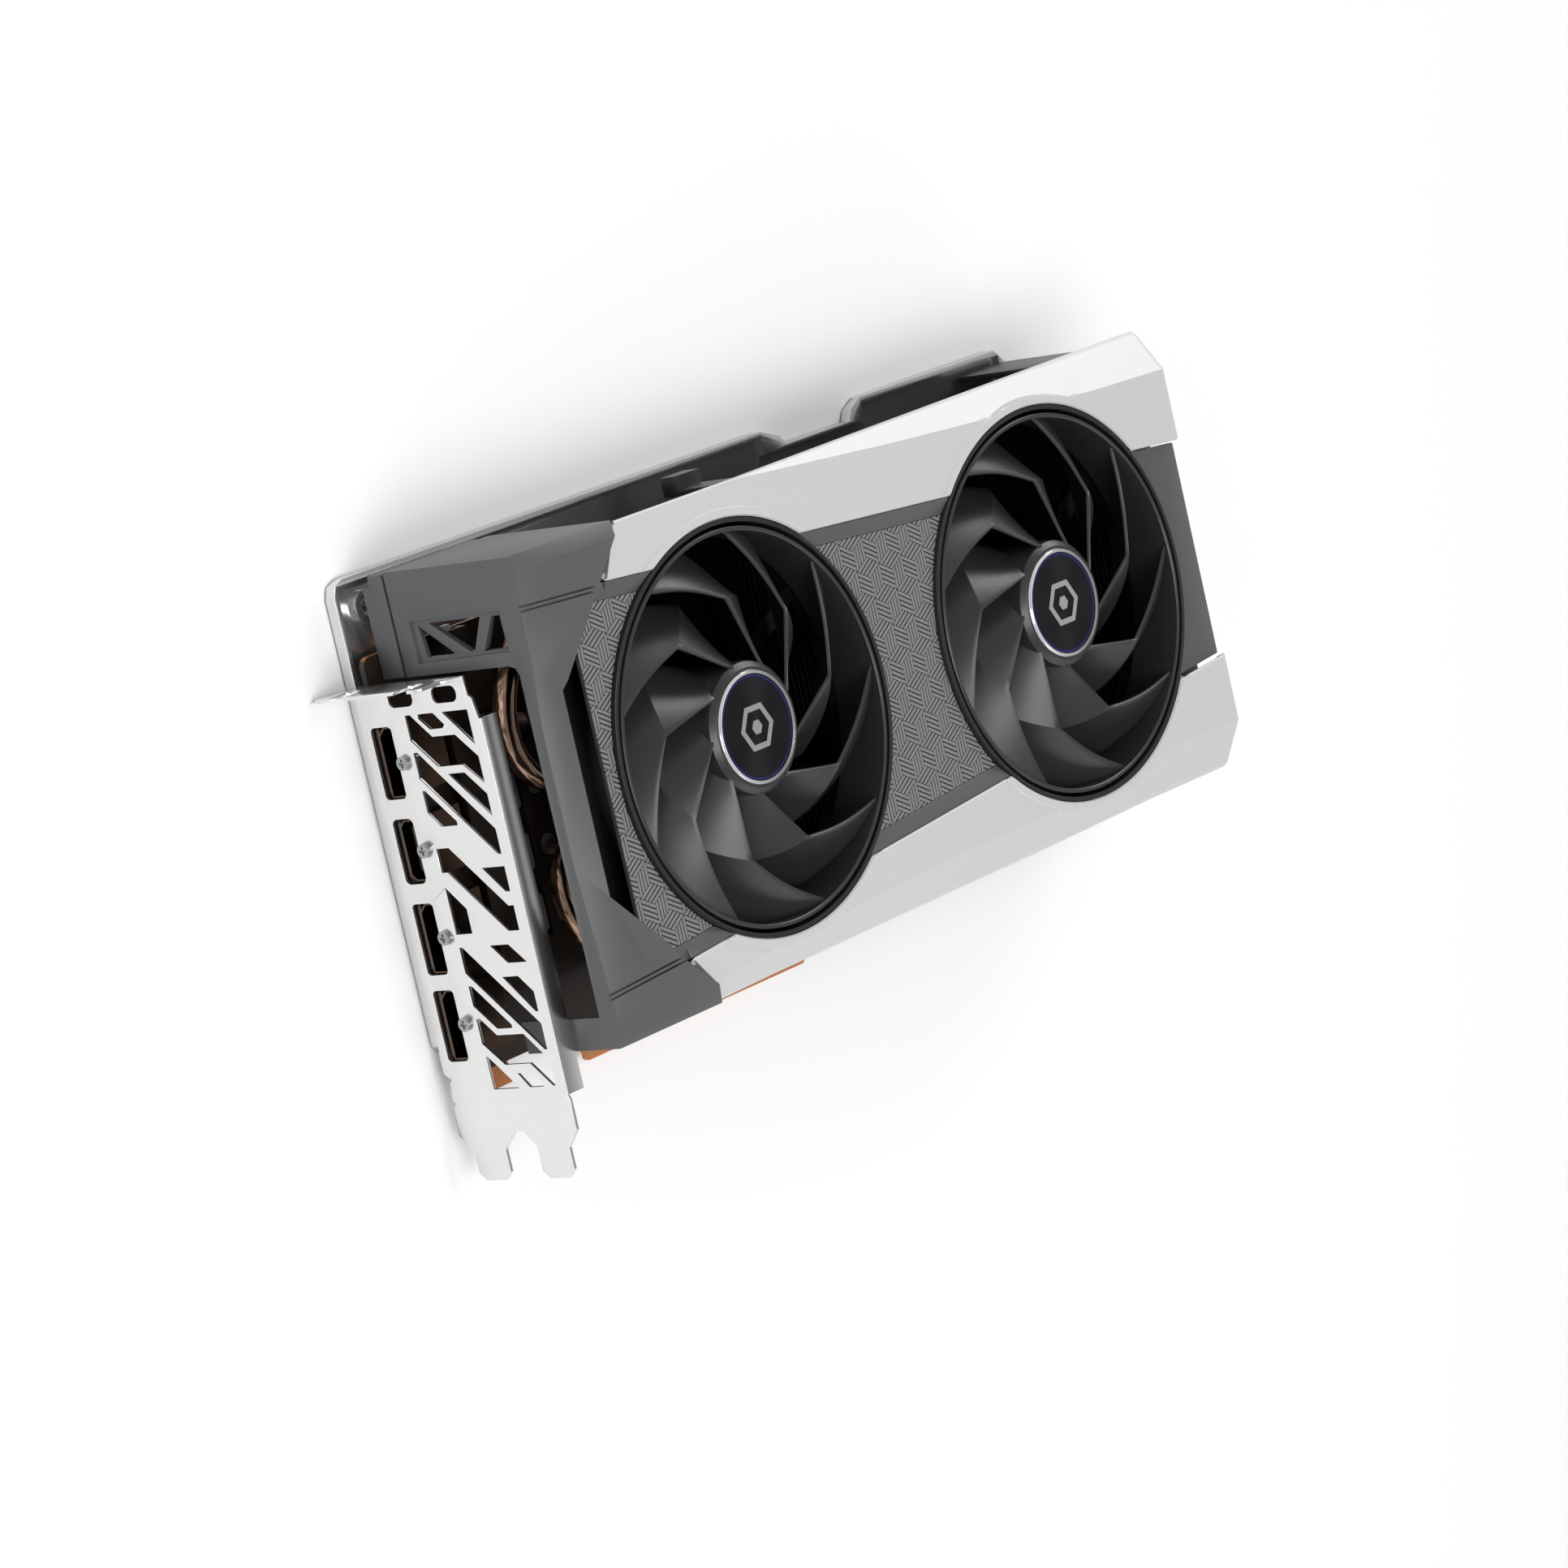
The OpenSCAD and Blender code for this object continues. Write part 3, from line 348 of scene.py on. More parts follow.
def facing(material, axis, low, high, colour, both_ways=True):
    """Paints faces whose normal leans past low to high along an axis in another colour."""
    nodes, link = material.node_tree.nodes, material.node_tree.links.new
    geometry = nodes.new("ShaderNodeNewGeometry")
    parts = nodes.new("ShaderNodeSeparateXYZ")
    link(geometry.outputs["True Normal"], parts.inputs[0])
    size = nodes.new("ShaderNodeMath")
    size.operation = "ABSOLUTE" if both_ways else "ADD"
    size.inputs[1].default_value = 0.0
    link(parts.outputs[axis], size.inputs[0])
    mask = nodes.new("ShaderNodeMapRange")
    mask.inputs["From Min"].default_value = low
    mask.inputs["From Max"].default_value = high
    link(size.outputs[0], mask.inputs["Value"])
    return painted(material, mask.outputs["Result"], colour)


def below(material, axis, limit, colour):
    """Paints whatever lies below a limit along an axis, in metres of the row's frame."""
    nodes, link = material.node_tree.nodes, material.node_tree.links.new
    where = nodes.new("ShaderNodeTexCoord")
    parts = nodes.new("ShaderNodeSeparateXYZ")
    mask = nodes.new("ShaderNodeMath")
    mask.operation = "LESS_THAN"
    mask.inputs[1].default_value = limit
    link(where.outputs["Object"], parts.inputs[0])
    link(parts.outputs[axis], mask.inputs[0])
    return painted(material, mask.outputs[0], colour)


def spun_group():
    """Turned metal: the direction of the tool marks round an upright axis through a centre."""
    group, start, end = socketed("spun marks", [("Centre", "NodeSocketVector", (0, 0, 0))],
                                 [("Tangent", "NodeSocketVector")])
    n, link = group.nodes.new, group.links.new
    where = n("ShaderNodeTexCoord")
    arm = n("ShaderNodeVectorMath")
    arm.operation = "SUBTRACT"
    link(where.outputs["Object"], arm.inputs[0])
    link(start.outputs["Centre"], arm.inputs[1])
    around = n("ShaderNodeVectorMath")
    around.operation = "CROSS_PRODUCT"
    around.inputs[0].default_value = (0, 0, 1)
    link(arm.outputs[0], around.inputs[1])
    unit = n("ShaderNodeVectorMath")
    unit.operation = "NORMALIZE"
    link(around.outputs[0], unit.inputs[0])
    link(unit.outputs[0], end.inputs["Tangent"])
    return group


SPUN = spun_group()


def spun(material, x):
    """Adds the tool marks of a disc turned about a fan's axis."""
    marks = material.node_tree.nodes.new("ShaderNodeGroup")
    marks.node_tree = SPUN
    marks.inputs["Centre"].default_value = CORNER + Vector((x, MID_Y, 0)) * MM
    shader = material.node_tree.nodes["Principled BSDF"]
    shader.inputs["Anisotropic"].default_value = 0.85
    material.node_tree.links.new(marks.outputs["Tangent"], shader.inputs["Tangent"])
    return material


NICKEL = finish("bright nickel", (0.74, 0.74, 0.735), 0.25, 1.0, 0.02, 0.02, 900, 0.004)
STEEL = finish("screw steel", (0.34, 0.34, 0.34), 0.30, 1.0)
SHELL = finish("socket shell", (0.13, 0.085, 0.06), 0.24, 1.0)
BLACK = finish("black moulding", (0.012, 0.012, 0.013), 0.42)
SHROUD = finish("shroud black", (0.009, 0.009, 0.010), 0.38)
CAP = finish("cap grey", (0.080, 0.081, 0.084), 0.46, 0.0, 0.06, 0.15, 2600, 0.30)
BEZEL = finish("bezel grey", (0.080, 0.081, 0.084), 0.44, 0.0, 0.06, 0.15, 2600, 0.25)
# painted shade: the groove floor of the relief is near black, far darker than the insert's own grey
GROUND_SHADE = finish("relief ground painted shade", (0.016, 0.016, 0.017), 0.5)
INSERT_GREY = finish("insert grey", (0.190, 0.192, 0.196), 0.40, 0.0, 0.10, 0.15, 2600, 0.25)
SILVER = finish("silver paint", (0.61, 0.61, 0.62), 0.42, 0.25, 0.03, 0.25, 4200, 0.35)
ROTOR = finish("rotor grey", (0.026, 0.026, 0.028), 0.33, 0.0, 0.10, 0.16, 3000, 0.30)
BRIGHT = finish("bright ring", (0.90, 0.90, 0.91), 0.12, 1.0, 0.02, 0.05)
BADGES = [spun(finish(f"spun badge {i + 1}", (0.016, 0.016, 0.020), 0.32, 0.8, 0.05, 0.06), FANS[i])
          for i in range(2)]
BLUE = finish("accent blue", (0.010, 0.012, 0.15), 0.30)
COPPER = finish("copper", (0.72, 0.42, 0.28), 0.3, 1.0)
PIPE = finish("nickel over copper", (0.46, 0.30, 0.22), 0.16, 1.0, 0.20, 0.10, 400, 0.20)
# painted shade: the aluminium fins are dark grey to stand for the shade inside the cooler, not their
# own bright metal
FIN_SHADE = finish("fin alloy painted shade", (0.10, 0.10, 0.105), 0.34, 1.0)
PLATE = finish("dark alloy", (0.035, 0.024, 0.018), 0.36, 0.6)
GOLD = finish("gold plate", (0.90, 0.66, 0.32), 0.22, 1.0)
WHITE = finish("white moulding", (0.74, 0.73, 0.70), 0.45)
CHIP = finish("chip black", (0.018, 0.017, 0.017), 0.40)
PAD = finish("thermal pad", (0.34, 0.36, 0.39), 0.8)
CAN = finish("capacitor can", (0.66, 0.66, 0.68), 0.3, 1.0)
RESIN = finish("substrate", (0.04, 0.13, 0.07), 0.4)
SILICON = finish("silicon", (0.16, 0.18, 0.22), 0.12, 0.4)
COIL = finish("coil powder", (0.10, 0.10, 0.11), 0.6)
BRONZE = finish("bronze", (0.50, 0.34, 0.18), 0.4, 1.0)
WINDING = finish("winding", (0.60, 0.28, 0.13), 0.3, 1.0)
MAGNET = finish("magnet", (0.05, 0.05, 0.05), 0.6)
BOARD = facing(finish("board", (0.020, 0.012, 0.008), 0.30, 0.0, 0.4),
               "Y", 0.6, 0.9, (0.52, 0.19, 0.08))
below(BOARD, "Y", CORNER.y + EDGE_TAB * MM, (0.50, 0.17, 0.06))
BACKPLATE = facing(finish("backplate", (0.70, 0.70, 0.71), 0.24, 0.9, 0.05, 0.03, 2500, 0.01),
                   "Z", -0.5, -0.9, (0.02, 0.02, 0.021), both_ways=False)

CAD_FINISH = {
    "bracket_screws": STEEL, "display_socket_1": SHELL, "display_socket_2": SHELL,
    "display_socket_3": SHELL, "media_socket": SHELL, "socket_tongues": BLACK,
    "circuit_board": BOARD, "edge_contacts": GOLD, "processor_package": RESIN,
    "processor_die": SILICON, "memory_chips": CHIP, "memory_pads": PAD, "power_coils": COIL,
    "capacitors": CAN, "power_stages": CHIP, "power_socket": BLACK, "power_pins": GOLD,
    "fan_headers": WHITE, "switch_body": BLACK, "switch_slider": WHITE, "cold_plate": COPPER,
    "base_plate": PLATE, "cooler_screws": STEEL, "retention_plate": STEEL,
    "backplate_screws": STEEL, "shroud_screws": BLACK, "fan_mount_1": SHROUD,
    "fan_mount_2": SHROUD, "stator_1": WINDING, "stator_2": WINDING, "bearing_1": BRONZE,
    "bearing_2": BRONZE, "fan_shaft_1": STEEL,
    "fan_shaft_2": STEEL, "magnet_ring_1": MAGNET, "magnet_ring_2": MAGNET,
}


def paint_nodes():
    for node, material in CAD_FINISH.items():
        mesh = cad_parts[node].data
        mesh.materials.clear()
        mesh.materials.append(material)


# ---- Softened CAD shapes -----------------------------------------------------------------------

def softened(node, name, material, slot, width):
    """A CAD shape with its edges rounded, or only shaded smooth where the width is 0."""
    piece = copy_of(node, name)
    if width:
        rounded(piece, width)
    smooth(piece)
    return wear(piece, "card", material, slot, node)


def soften_all():
    softened("bracket", "bracket_sheet", NICKEL, "nickel_steel", 0.16)
    softened("heat_pipes", "pipe_set", PIPE, "nickel_copper", 0)
    softened("backplate", "back_tray", BACKPLATE, "backplate_metal", 0.25)
    softened("shroud_deck", "shroud_body", SHROUD, "shroud_black", 0.25)
    softened("shroud_tail", "shroud_end", SHROUD, "shroud_black", 0.25)
    for number in (1, 2):
        softened(f"fan_duct_{number}", f"duct_ring_{number}", SHROUD, "shroud_black", 0.2)
    softened("bezel_bars", "bezel_slopes", BEZEL, "bezel_grey", 0.3)
    softened("tail_panel", "tail_cover", BEZEL, "bezel_grey", 0.3)
    softened("cap_corner", "cap_lower_corner", CAP, "cap_grey", 0.35)


# ---- Front strips ------------------------------------------------------------------------------

CREASES = {
    1: ((85, 58.5), (150, 53.5), (183, 51.4), (234, 48.5), (266, 47.5)),
    -1: ((47, 53.3), (68, 51.3), (97, 50.5), (147, 49), (178, 49), (232, 45.5), (266, 46.6)),
}
STRIP_FALL = {1: 0.642, -1: 0.60}      # slope past the crease
STRIP_WALL = 1.9
STRIP_COLUMNS = 300
STRIP_SECTIONS = ((0, 8), (1, 18), (2, 12))  # rows of faces in the lip, the flat and the slope
EDGE_ROUND = 0.6
LIP_RISE = 0.35         # the lip's top above the front plane
TAIL_ROLL = 3           # length over which the tail end rolls down


def between(points, x):
    """Straight-line reading of y at x from a few (x, y) points."""
    for (x0, y0), (x1, y1) in zip(points, points[1:]):
        if x <= x1:
            return y0 + (y1 - y0) * (x - x0) / (x1 - x0)
    return points[-1][1]


def strip_inner(x):
    """Half gap from the centre line to a strip's inner edge: a straight edge, or a fan's opening."""
    left, right = STRIP_IN
    line = left - (x - STRIP_LEFT) * (left - right) / (CARD_LEN - STRIP_LEFT)
    arcs = [math.sqrt(OPEN_R ** 2 - (x - f) ** 2) for f in FANS if abs(x - f) < OPEN_R]
    return max([line, *arcs])


def lip_outer(x):
    """Half gap from the centre line to the outside of the lip round a fan."""
    arcs = [math.sqrt(LIP_R ** 2 - (x - f) ** 2) for f in FANS if abs(x - f) < LIP_R]
    return max([strip_inner(x) + 0.5, *arcs])


def strip_height(side, x, out):
    """Front surface of a strip: flat, then falling away past its crease, with a lip round each fan."""
    z = FRONT - STRIP_FALL[side] * max(0.0, out - between(CREASES[side], x))
    z -= 0.22 * max(0.0, x - (CARD_LEN - TAIL_ROLL)) ** 2
    gap = min(math.hypot(x - f, out) for f in FANS)
    if gap < LIP_R:
        z = max(z, min(FRONT + LIP_RISE, z + (LIP_R - gap) * 3.2))
    return z


def strip_ends(t):
    """Left and right end of a strip at the share t from its inner to its outer edge."""
    left = between(((0, 38.3), (0.12, 36.6), (0.72, 44.2), (1, 44.5)), t)
    right = between(((0, 264.8), (0.08, 266), (0.7, 266), (0.9, 265.2), (1, 263.6)), t)
    return left, right


def strip(side, name, node):
    """One silver strip: side is 1 for the upper and -1 for the lower."""
    bm = bmesh.new()
    grid = []
    steps = [(s, i / n) for s, n in STRIP_SECTIONS for i in range(n)] + [(2, 1.0)]
    for row, (section, share) in enumerate(steps):
        left, right = strip_ends(row / (len(steps) - 1))
        line = []
        for c in range(STRIP_COLUMNS + 1):
            x = left + (right - left) * c / STRIP_COLUMNS
            inner = strip_inner(x)
            lip = min(lip_outer(x), HALF_W - 2)
            crease = min(max(between(CREASES[side], x), lip + 0.8), HALF_W - 1)
            marks = (inner, lip, crease, HALF_W)
            out = marks[section] + (marks[section + 1] - marks[section]) * share
            z = strip_height(side, x, out)
            for gap in (out - inner, HALF_W - out):
                if gap < EDGE_ROUND:
                    z -= EDGE_ROUND - math.sqrt(EDGE_ROUND ** 2 - (EDGE_ROUND - gap) ** 2)
            line.append(bm.verts.new((x, MID_Y + side * out, z)))
        grid.append(line)
    for a, b in zip(grid, grid[1:]):
        for i in range(STRIP_COLUMNS):
            face = (a[i], a[i + 1], b[i + 1], b[i])
            bm.faces.new(face if side > 0 else face[::-1])
    piece = build(name, bm)
    solidify(piece, STRIP_WALL)
    smooth(piece, 28)
    return wear(piece, "card", SILVER, "silver_paint", node)


# ---- End cap -----------------------------------------------------------------------------------

SEAM_Z = 12.0           # foot of the walls at the upper corner
BLOCK_Y = 120.8         # inner side of the upper corner block
CAP_WALL = 1.8


def end_cap():
    """The angular cap: a faceted front over a flat end face, with walls along its top and bottom."""
    low_y, high_y = MID_Y - HALF_W, MID_Y + HALF_W + 0.4
    end = [(CAP_X, y, z) for y, z in (
        (high_y, 51.6), (142.3, CAP_Z), (134.8, 52.6), (118.5, 51.8), (104.6, 50.4), (71.7, 50.4),
        (42.3, 52.4), (33.3, CAP_Z), (low_y, 51.6))]
    front = [(43.7, high_y, 51.6), (42.2, 142.5, CAP_Z), (33.6, 133.2, 53.2), (15.8, 114.4, 53.0),
             (13.4, 112.6, 52.9), (13.2, 63.2, 52.9), (29.3, 47.3, 53.0), (32.6, 42.9, 53.2),
             (42.7, 33.6, CAP_Z), (44.2, low_y, 51.6)]
    inner = [(x, y, 49.6) for x, y, _ in front[2:8]]
    frame_edge = [(CAP_X, y, z) for y, z in (
        (low_y, 22.5), (36.3, 22.5), (36.3, 47.3), (118.4, 47.3), (120.1, 46.5),
        (BLOCK_Y, 44.6), (BLOCK_Y, SEAM_Z), (high_y, SEAM_Z))]
    top = [(44, high_y, SEAM_Z)]
    bottom = [(44, low_y, 36)]
    deep = [(19.8, BLOCK_Y, SEAM_Z), (19.8, BLOCK_Y, 44.6)]
    points = end + front + inner + frame_edge + top + bottom + deep
    e, f, n = 0, len(end), len(end) + len(front)
    g = n + len(inner)
    t = g + len(frame_edge)
    b, d = t + 1, t + 2
    faces = [
        (e, f, f + 1, e + 1), (e + 1, f + 1, f + 2, e + 2), (e + 2, f + 2, f + 3, e + 3),
        (e + 3, f + 3, f + 4), (e + 3, f + 4, e + 4), (e + 4, f + 4, f + 5, e + 5),
        (e + 5, f + 5, f + 6, f + 7, e + 6), (e + 6, f + 7, f + 8, e + 7),
        (e + 7, f + 8, f + 9, e + 8),
        tuple(range(e, e + 9)) + tuple(range(g, g + 8)),
        (e, g + 7, t, f), (e + 8, f + 9, b, g),
        (g + 6, d, d + 1, g + 5),
    ]
    faces += [(f + 2 + i, f + 3 + i, n + 1 + i, n + i) for i in range(5)]
    cap = polygons("end_cap_shell", points, faces)
    if sum(p.normal.z * p.area for p in cap.data.polygons) < 0:
        cap.data.flip_normals()
    return cap


def cap_window(bm):
    """Three openings of the truss window, as prisms through the end face."""
    holes = (
        ((132.6, 18.4), (124.8, 19.4), (124.8, 28.6)),
        ((132.9, 21.9), (132.9, 38.4), (125.2, 34.6), (125.2, 33.0)),
        ((132.8, 42.0), (132.8, 44.6), (124.8, 44.9), (124.8, 37.4)),
    )
    for hole in holes:
        prism(bm, hole, CAP_X - 2, CAP_X + 5, "x")


def make_cap():
    """The cap with its window, the recess round it, and two pairs of fine grooves."""
    cap = end_cap()
    solidify(cap, CAP_WALL)
    bm = bmesh.new()
    cap_window(bm)
    cut(cap, build("window_cutter", bm))
    bm = bmesh.new()
    prism(bm, ((133.9, 16.6), (134, 45.7), (124.2, 45.9), (123.7, 16.8)), CAP_X - 2, CAP_X + 0.8, "x")
    cut(cap, build("recess_cutter", bm))
    bm = bmesh.new()
    for y0, y1 in ((134.1, 132.5), (41.2, 42.9)):
        for shift in (0, -1.1):
            prism(bm, ((CAP_X - 2, y0 + shift), (34, y1 + shift), (34, y1 + shift + 0.45),
                       (CAP_X - 2, y0 + shift + 0.45)), 51.6, 56)
    cut(cap, build("groove_cutter", bm))
    rounded(cap, 0.35, 2, 25)
    smooth(cap, 30)
    return wear(cap, "card", CAP, "cap_grey", "end_cap")


# ---- Fans --------------------------------------------------------------------------------------

BLADE_TOP = 50.9        # level of a blade's front edge
BLADE_DROP = 13.2       # fall from there to its back edge
BLADE_WALL = 0.9
FIRST_TURN = 9.3        # degrees from the card's length to the first kink
ROOT = (HUB_R - 0.6, -29.8)
KINK = (32.0, 0.0)
TIP = (RIM_R - 0.9, 34.7)
RUNS = ((ROOT[0], 11.5), (KINK[0], 19.5), (TIP[0], 26.0))


def polar(radius, degrees):
    a = math.radians(degrees)
    return Vector((radius * math.cos(a), radius * math.sin(a)))


def blade(name):
    """One blade about the origin: its front edge bends at the kink, its face falls away clockwise."""
    root, kink, tip = polar(*ROOT), polar(*KINK), polar(*TIP)
    edge = [root.lerp(kink, i / 10) for i in range(10)]
    out = (tip - kink).orthogonal().normalized()
    for i in range(15):
        s = i / 14
        edge.append(kink.lerp(tip, s) - out * 1.3 * math.sin(math.pi * s))
    across = 12
    bm = bmesh.new()
    rows = []
    for p in edge:
        radius, turn = p.length, math.atan2(p.y, p.x)
        run = between(RUNS, radius) / radius
        row = []
        for j in range(across + 1):
            v = j / across
            a = turn - run * v
            z = BLADE_TOP - BLADE_DROP * (0.62 * v + 0.38 * v * v)
            row.append(bm.verts.new((radius * math.cos(a), radius * math.sin(a), z)))
        rows.append(row)
    for a, b in zip(rows, rows[1:]):
        for j in range(across):
            bm.faces.new((a[j], b[j], b[j + 1], a[j + 1])[::-1])
    for v in bm.verts:
        v.co *= MM
    bmesh.ops.recalc_face_normals(bm, faces=bm.faces)
    if sum(f.normal.z for f in bm.faces) < 0:
        bmesh.ops.reverse_faces(bm, faces=bm.faces)
    piece = build(name, bm, placed=False)
    solidify(piece, BLADE_WALL)
    return rounded(piece, 0.18, 2, 50)


def geometry_tree(name, **inputs):
    """A geometry node tree with its named inputs, and its start and end."""
    tree = bpy.data.node_groups.new(name, "GeometryNodeTree")
    for label, kind in {"Geometry": "Geometry", **inputs, "Finish": "Material"}.items():
        tree.interface.new_socket(
            label.replace("_", " "), in_out="INPUT", socket_type=f"NodeSocket{kind}")
    tree.interface.new_socket("Geometry", in_out="OUTPUT", socket_type="NodeSocketGeometry")
    return tree, tree.nodes.new("NodeGroupInput"), tree.nodes.new("NodeGroupOutput")


def close_tree(tree, start, end, copies):
    """Ends a tree: the copies become plain mesh and take their finish."""
    link = tree.links.new
    real = tree.nodes.new("GeometryNodeRealizeInstances")
    link(copies, real.inputs[0])
    done = tree.nodes.new("GeometryNodeSetMaterial")
    link(real.outputs[0], done.inputs["Geometry"])
    link(start.outputs["Finish"], done.inputs["Material"])
    link(done.outputs[0], end.inputs[0])
    return tree


def around_tree():
    """Geometry nodes: copies of a piece, evenly round an upright axis."""
    tree, start, end = geometry_tree(
        "copies round an axis", Piece="Object", Count="Int", First_turn="Float")
    n, link = tree.nodes.new, tree.links.new
    info = n("GeometryNodeObjectInfo")
    link(start.outputs["Piece"], info.inputs["Object"])
    spots = n("GeometryNodeMeshLine")
    spots.inputs["Offset"].default_value = (0, 0, 0)
    link(start.outputs["Count"], spots.inputs["Count"])
    copies = n("GeometryNodeInstanceOnPoints")
    link(spots.outputs[0], copies.inputs["Points"])
    link(info.outputs["Geometry"], copies.inputs["Instance"])
    index = n("GeometryNodeInputIndex")
    step = n("ShaderNodeMath")
    step.operation = "DIVIDE"
    step.inputs[0].default_value = math.tau
    link(start.outputs["Count"], step.inputs[1])
    turn = n("ShaderNodeMath")
    turn.operation = "MULTIPLY_ADD"
    link(index.outputs[0], turn.inputs[0])
    link(step.outputs[0], turn.inputs[1])
    link(start.outputs["First turn"], turn.inputs[2])
    euler = n("ShaderNodeCombineXYZ")
    link(turn.outputs[0], euler.inputs["Z"])
    rotate = n("GeometryNodeRotateInstances")
    rotate.inputs["Local Space"].default_value = False
    link(copies.outputs[0], rotate.inputs["Instances"])
    link(euler.outputs[0], rotate.inputs["Rotation"])
    return close_tree(tree, start, end, rotate.outputs[0])


def run_tree(piece, tree, values):
    """Runs a geometry node tree on a piece with its named inputs, and keeps the plain mesh."""
    m = piece.modifiers.new("nodes", "NODES")
    m.node_group = tree
    names = {s.name: s.identifier for s in tree.interface.items_tree if s.in_out == "INPUT"}
    for label, value in values.items():
        m[names[label]] = value
    return baked(piece)


def rotor(index, tree, one_blade):
    """Blades, hub and rim in one piece, then the trim on the hub."""
    x = FANS[index]
    body = f"fan_rotor_{index + 1}"
    blades = add("blades", bpy.data.meshes.new("blades"))
    run_tree(blades, tree, {"Piece": one_blade, "Count": BLADES,
                            "First turn": math.radians(FIRST_TURN), "Finish": ROTOR})
    place = CORNER + Vector((x, MID_Y, 0)) * MM
    blades.data.transform(Matrix.Translation(place))
    bm = bmesh.new()
    lathe(bm, (x, MID_Y), ((HUB_R - 1.4, 34.9), (HUB_R, 34.9), (HUB_R, 49.4),
                           (HUB_R - 0.25, 50.3), (14.9, 51.2), (14.55, 51.45), (14.0, 51.45),
                           (13.95, 50.4), (3, 50.4), (3, 48.9), (HUB_R - 1.4, 48.9)))
    lathe(bm, (x, MID_Y), ((RIM_R - 1.1, 37.7), (RIM_R, 37.7), (RIM_R, 51.5), (RIM_R - 0.25, 51.75),
                           (RIM_R - 0.85, 51.75), (RIM_R - 1.1, 51.5)), 256)
    hub = build("hub", bm)
    piece = merged(f"fan_{index + 1}", [blades, hub])
    smooth(piece, 32)
    wear(piece, body, ROTOR, "rotor_grey", f"rotor_{index + 1}")
    hub_trim(index, body)


def hub_trim(index, body):
    """The bright ring, the disc inside it, its accent line and the plain six-sided mark."""
    x = FANS[index]
    number = index + 1
    bm = bmesh.new()
    lathe(bm, (x, MID_Y), ((12.9, 50.5), (13.9, 50.5), (13.9, 51.6), (13.6, 51.9), (12.9, 51.7)))
    ring = smooth(build(f"hub_bright_ring_{number}", bm), 50)
    wear(ring, body, BRIGHT, "bright_ring", f"hub_ring_{number}")
    bm = bmesh.new()
    lathe(bm, (x, MID_Y), ((0, 50.5), (12.85, 50.5), (12.85, 51.45), (0, 51.45)))
    disc = smooth(build(f"hub_disc_{number}", bm), 40)
    wear(disc, body, BADGES[index], "badge_black", f"hub_badge_{number}")
    bm = bmesh.new()
    lathe(bm, (x, MID_Y), ((12.2, 51.3), (12.5, 51.3), (12.5, 51.5), (12.2, 51.5)))
    accent = smooth(build(f"hub_accent_{number}", bm), 40)
    wear(accent, body, BLUE, "badge_black")
    bm = bmesh.new()
    lathe(bm, (x, MID_Y), ((4.6, 51.3), (6.2, 51.3), (6.2, 51.58), (4.6, 51.58)), 6)
    lathe(bm, (x, MID_Y), ((0, 51.3), (1.9, 51.3), (1.9, 51.58), (0, 51.58)), 6)
    mark = build(f"hub_mark_{number}", bm)
    wear(mark, body, BRIGHT, "bright_ring")


def make_fans():
    tree = around_tree()
    one_blade = blade("one_blade")
    for index in range(2):
        rotor(index, tree, one_blade)
    bpy.data.objects.remove(one_blade)


# ---- Fins --------------------------------------------------------------------------------------

FIN_PITCH = 1.9
FIN_WALL = 0.3


def row_tree():
    """Geometry nodes: thin plates in a row along X."""
    tree, start, end = geometry_tree(
        "row of plates", Count="Int", First="Vector", Pitch="Vector", Plate="Vector")
    n, link = tree.nodes.new, tree.links.new
    line = n("GeometryNodeMeshLine")
    link(start.outputs["Count"], line.inputs["Count"])
    link(start.outputs["First"], line.inputs["Start Location"])
    link(start.outputs["Pitch"], line.inputs["Offset"])
    cube = n("GeometryNodeMeshCube")
    link(start.outputs["Plate"], cube.inputs["Size"])
    copies = n("GeometryNodeInstanceOnPoints")
    link(line.outputs[0], copies.inputs["Points"])
    link(cube.outputs[0], copies.inputs["Instance"])
    return close_tree(tree, start, end, copies.outputs[0])


def make_fins():
    """Thin plates that fill the box of the CAD fins, coloured dark as painted shade for the cooler's
    interior.
    """
    low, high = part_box("fin_stack")
    pitch = FIN_PITCH * MM
    plate = Vector((FIN_WALL * MM, high.y - low.y, high.z - low.z))
    count = int((high.x - low.x) / pitch)
    fins = add("fin_rows", bpy.data.meshes.new("fin_rows"))
    first = Vector((low.x + pitch / 2, (low.y + high.y) / 2, (low.z + high.z) / 2))
    run_tree(fins, row_tree(), {"Count": count, "First": tuple(first), "Pitch": (pitch, 0, 0),
                                "Plate": tuple(plate), "Finish": FIN_SHADE})
    wear(fins, "card", FIN_SHADE, "fin_aluminium", "fin_stack")


# ---- Relief on the inserts ---------------------------------------------------------------------

CELL_SIDE = 5.14        # side of one hexagon of the relief
GROOVE = 0.42           # depth of the grooves
BARS = 4                # raised bars across one rhombus
BAR_EDGE = 0.17         # share of a bar's room left free on each side
FIELD_ROWS = 13


def relief_cell():
    """One hexagon, point up: three rhombi of raised bars that run at 30, 90 and 150 degrees."""
    bm = bmesh.new()
    for along, across in ((30, 150), (-90, 30), (150, -90)):
        u, w = polar(CELL_SIDE, along), polar(CELL_SIDE, across)
        for k in range(BARS):
            low, high = w * (k + BAR_EDGE) / BARS, w * (k + 1 - BAR_EDGE) / BARS
            corners = [low, low + u, high + u, high]
            prism(bm, [(p.x, p.y) for p in corners], INSERT - GROOVE - 0.2, INSERT - 0.02)
    bmesh.ops.scale(bm, vec=(MM, MM, MM), verts=bm.verts)
    return build("relief_cell", bm, placed=False)


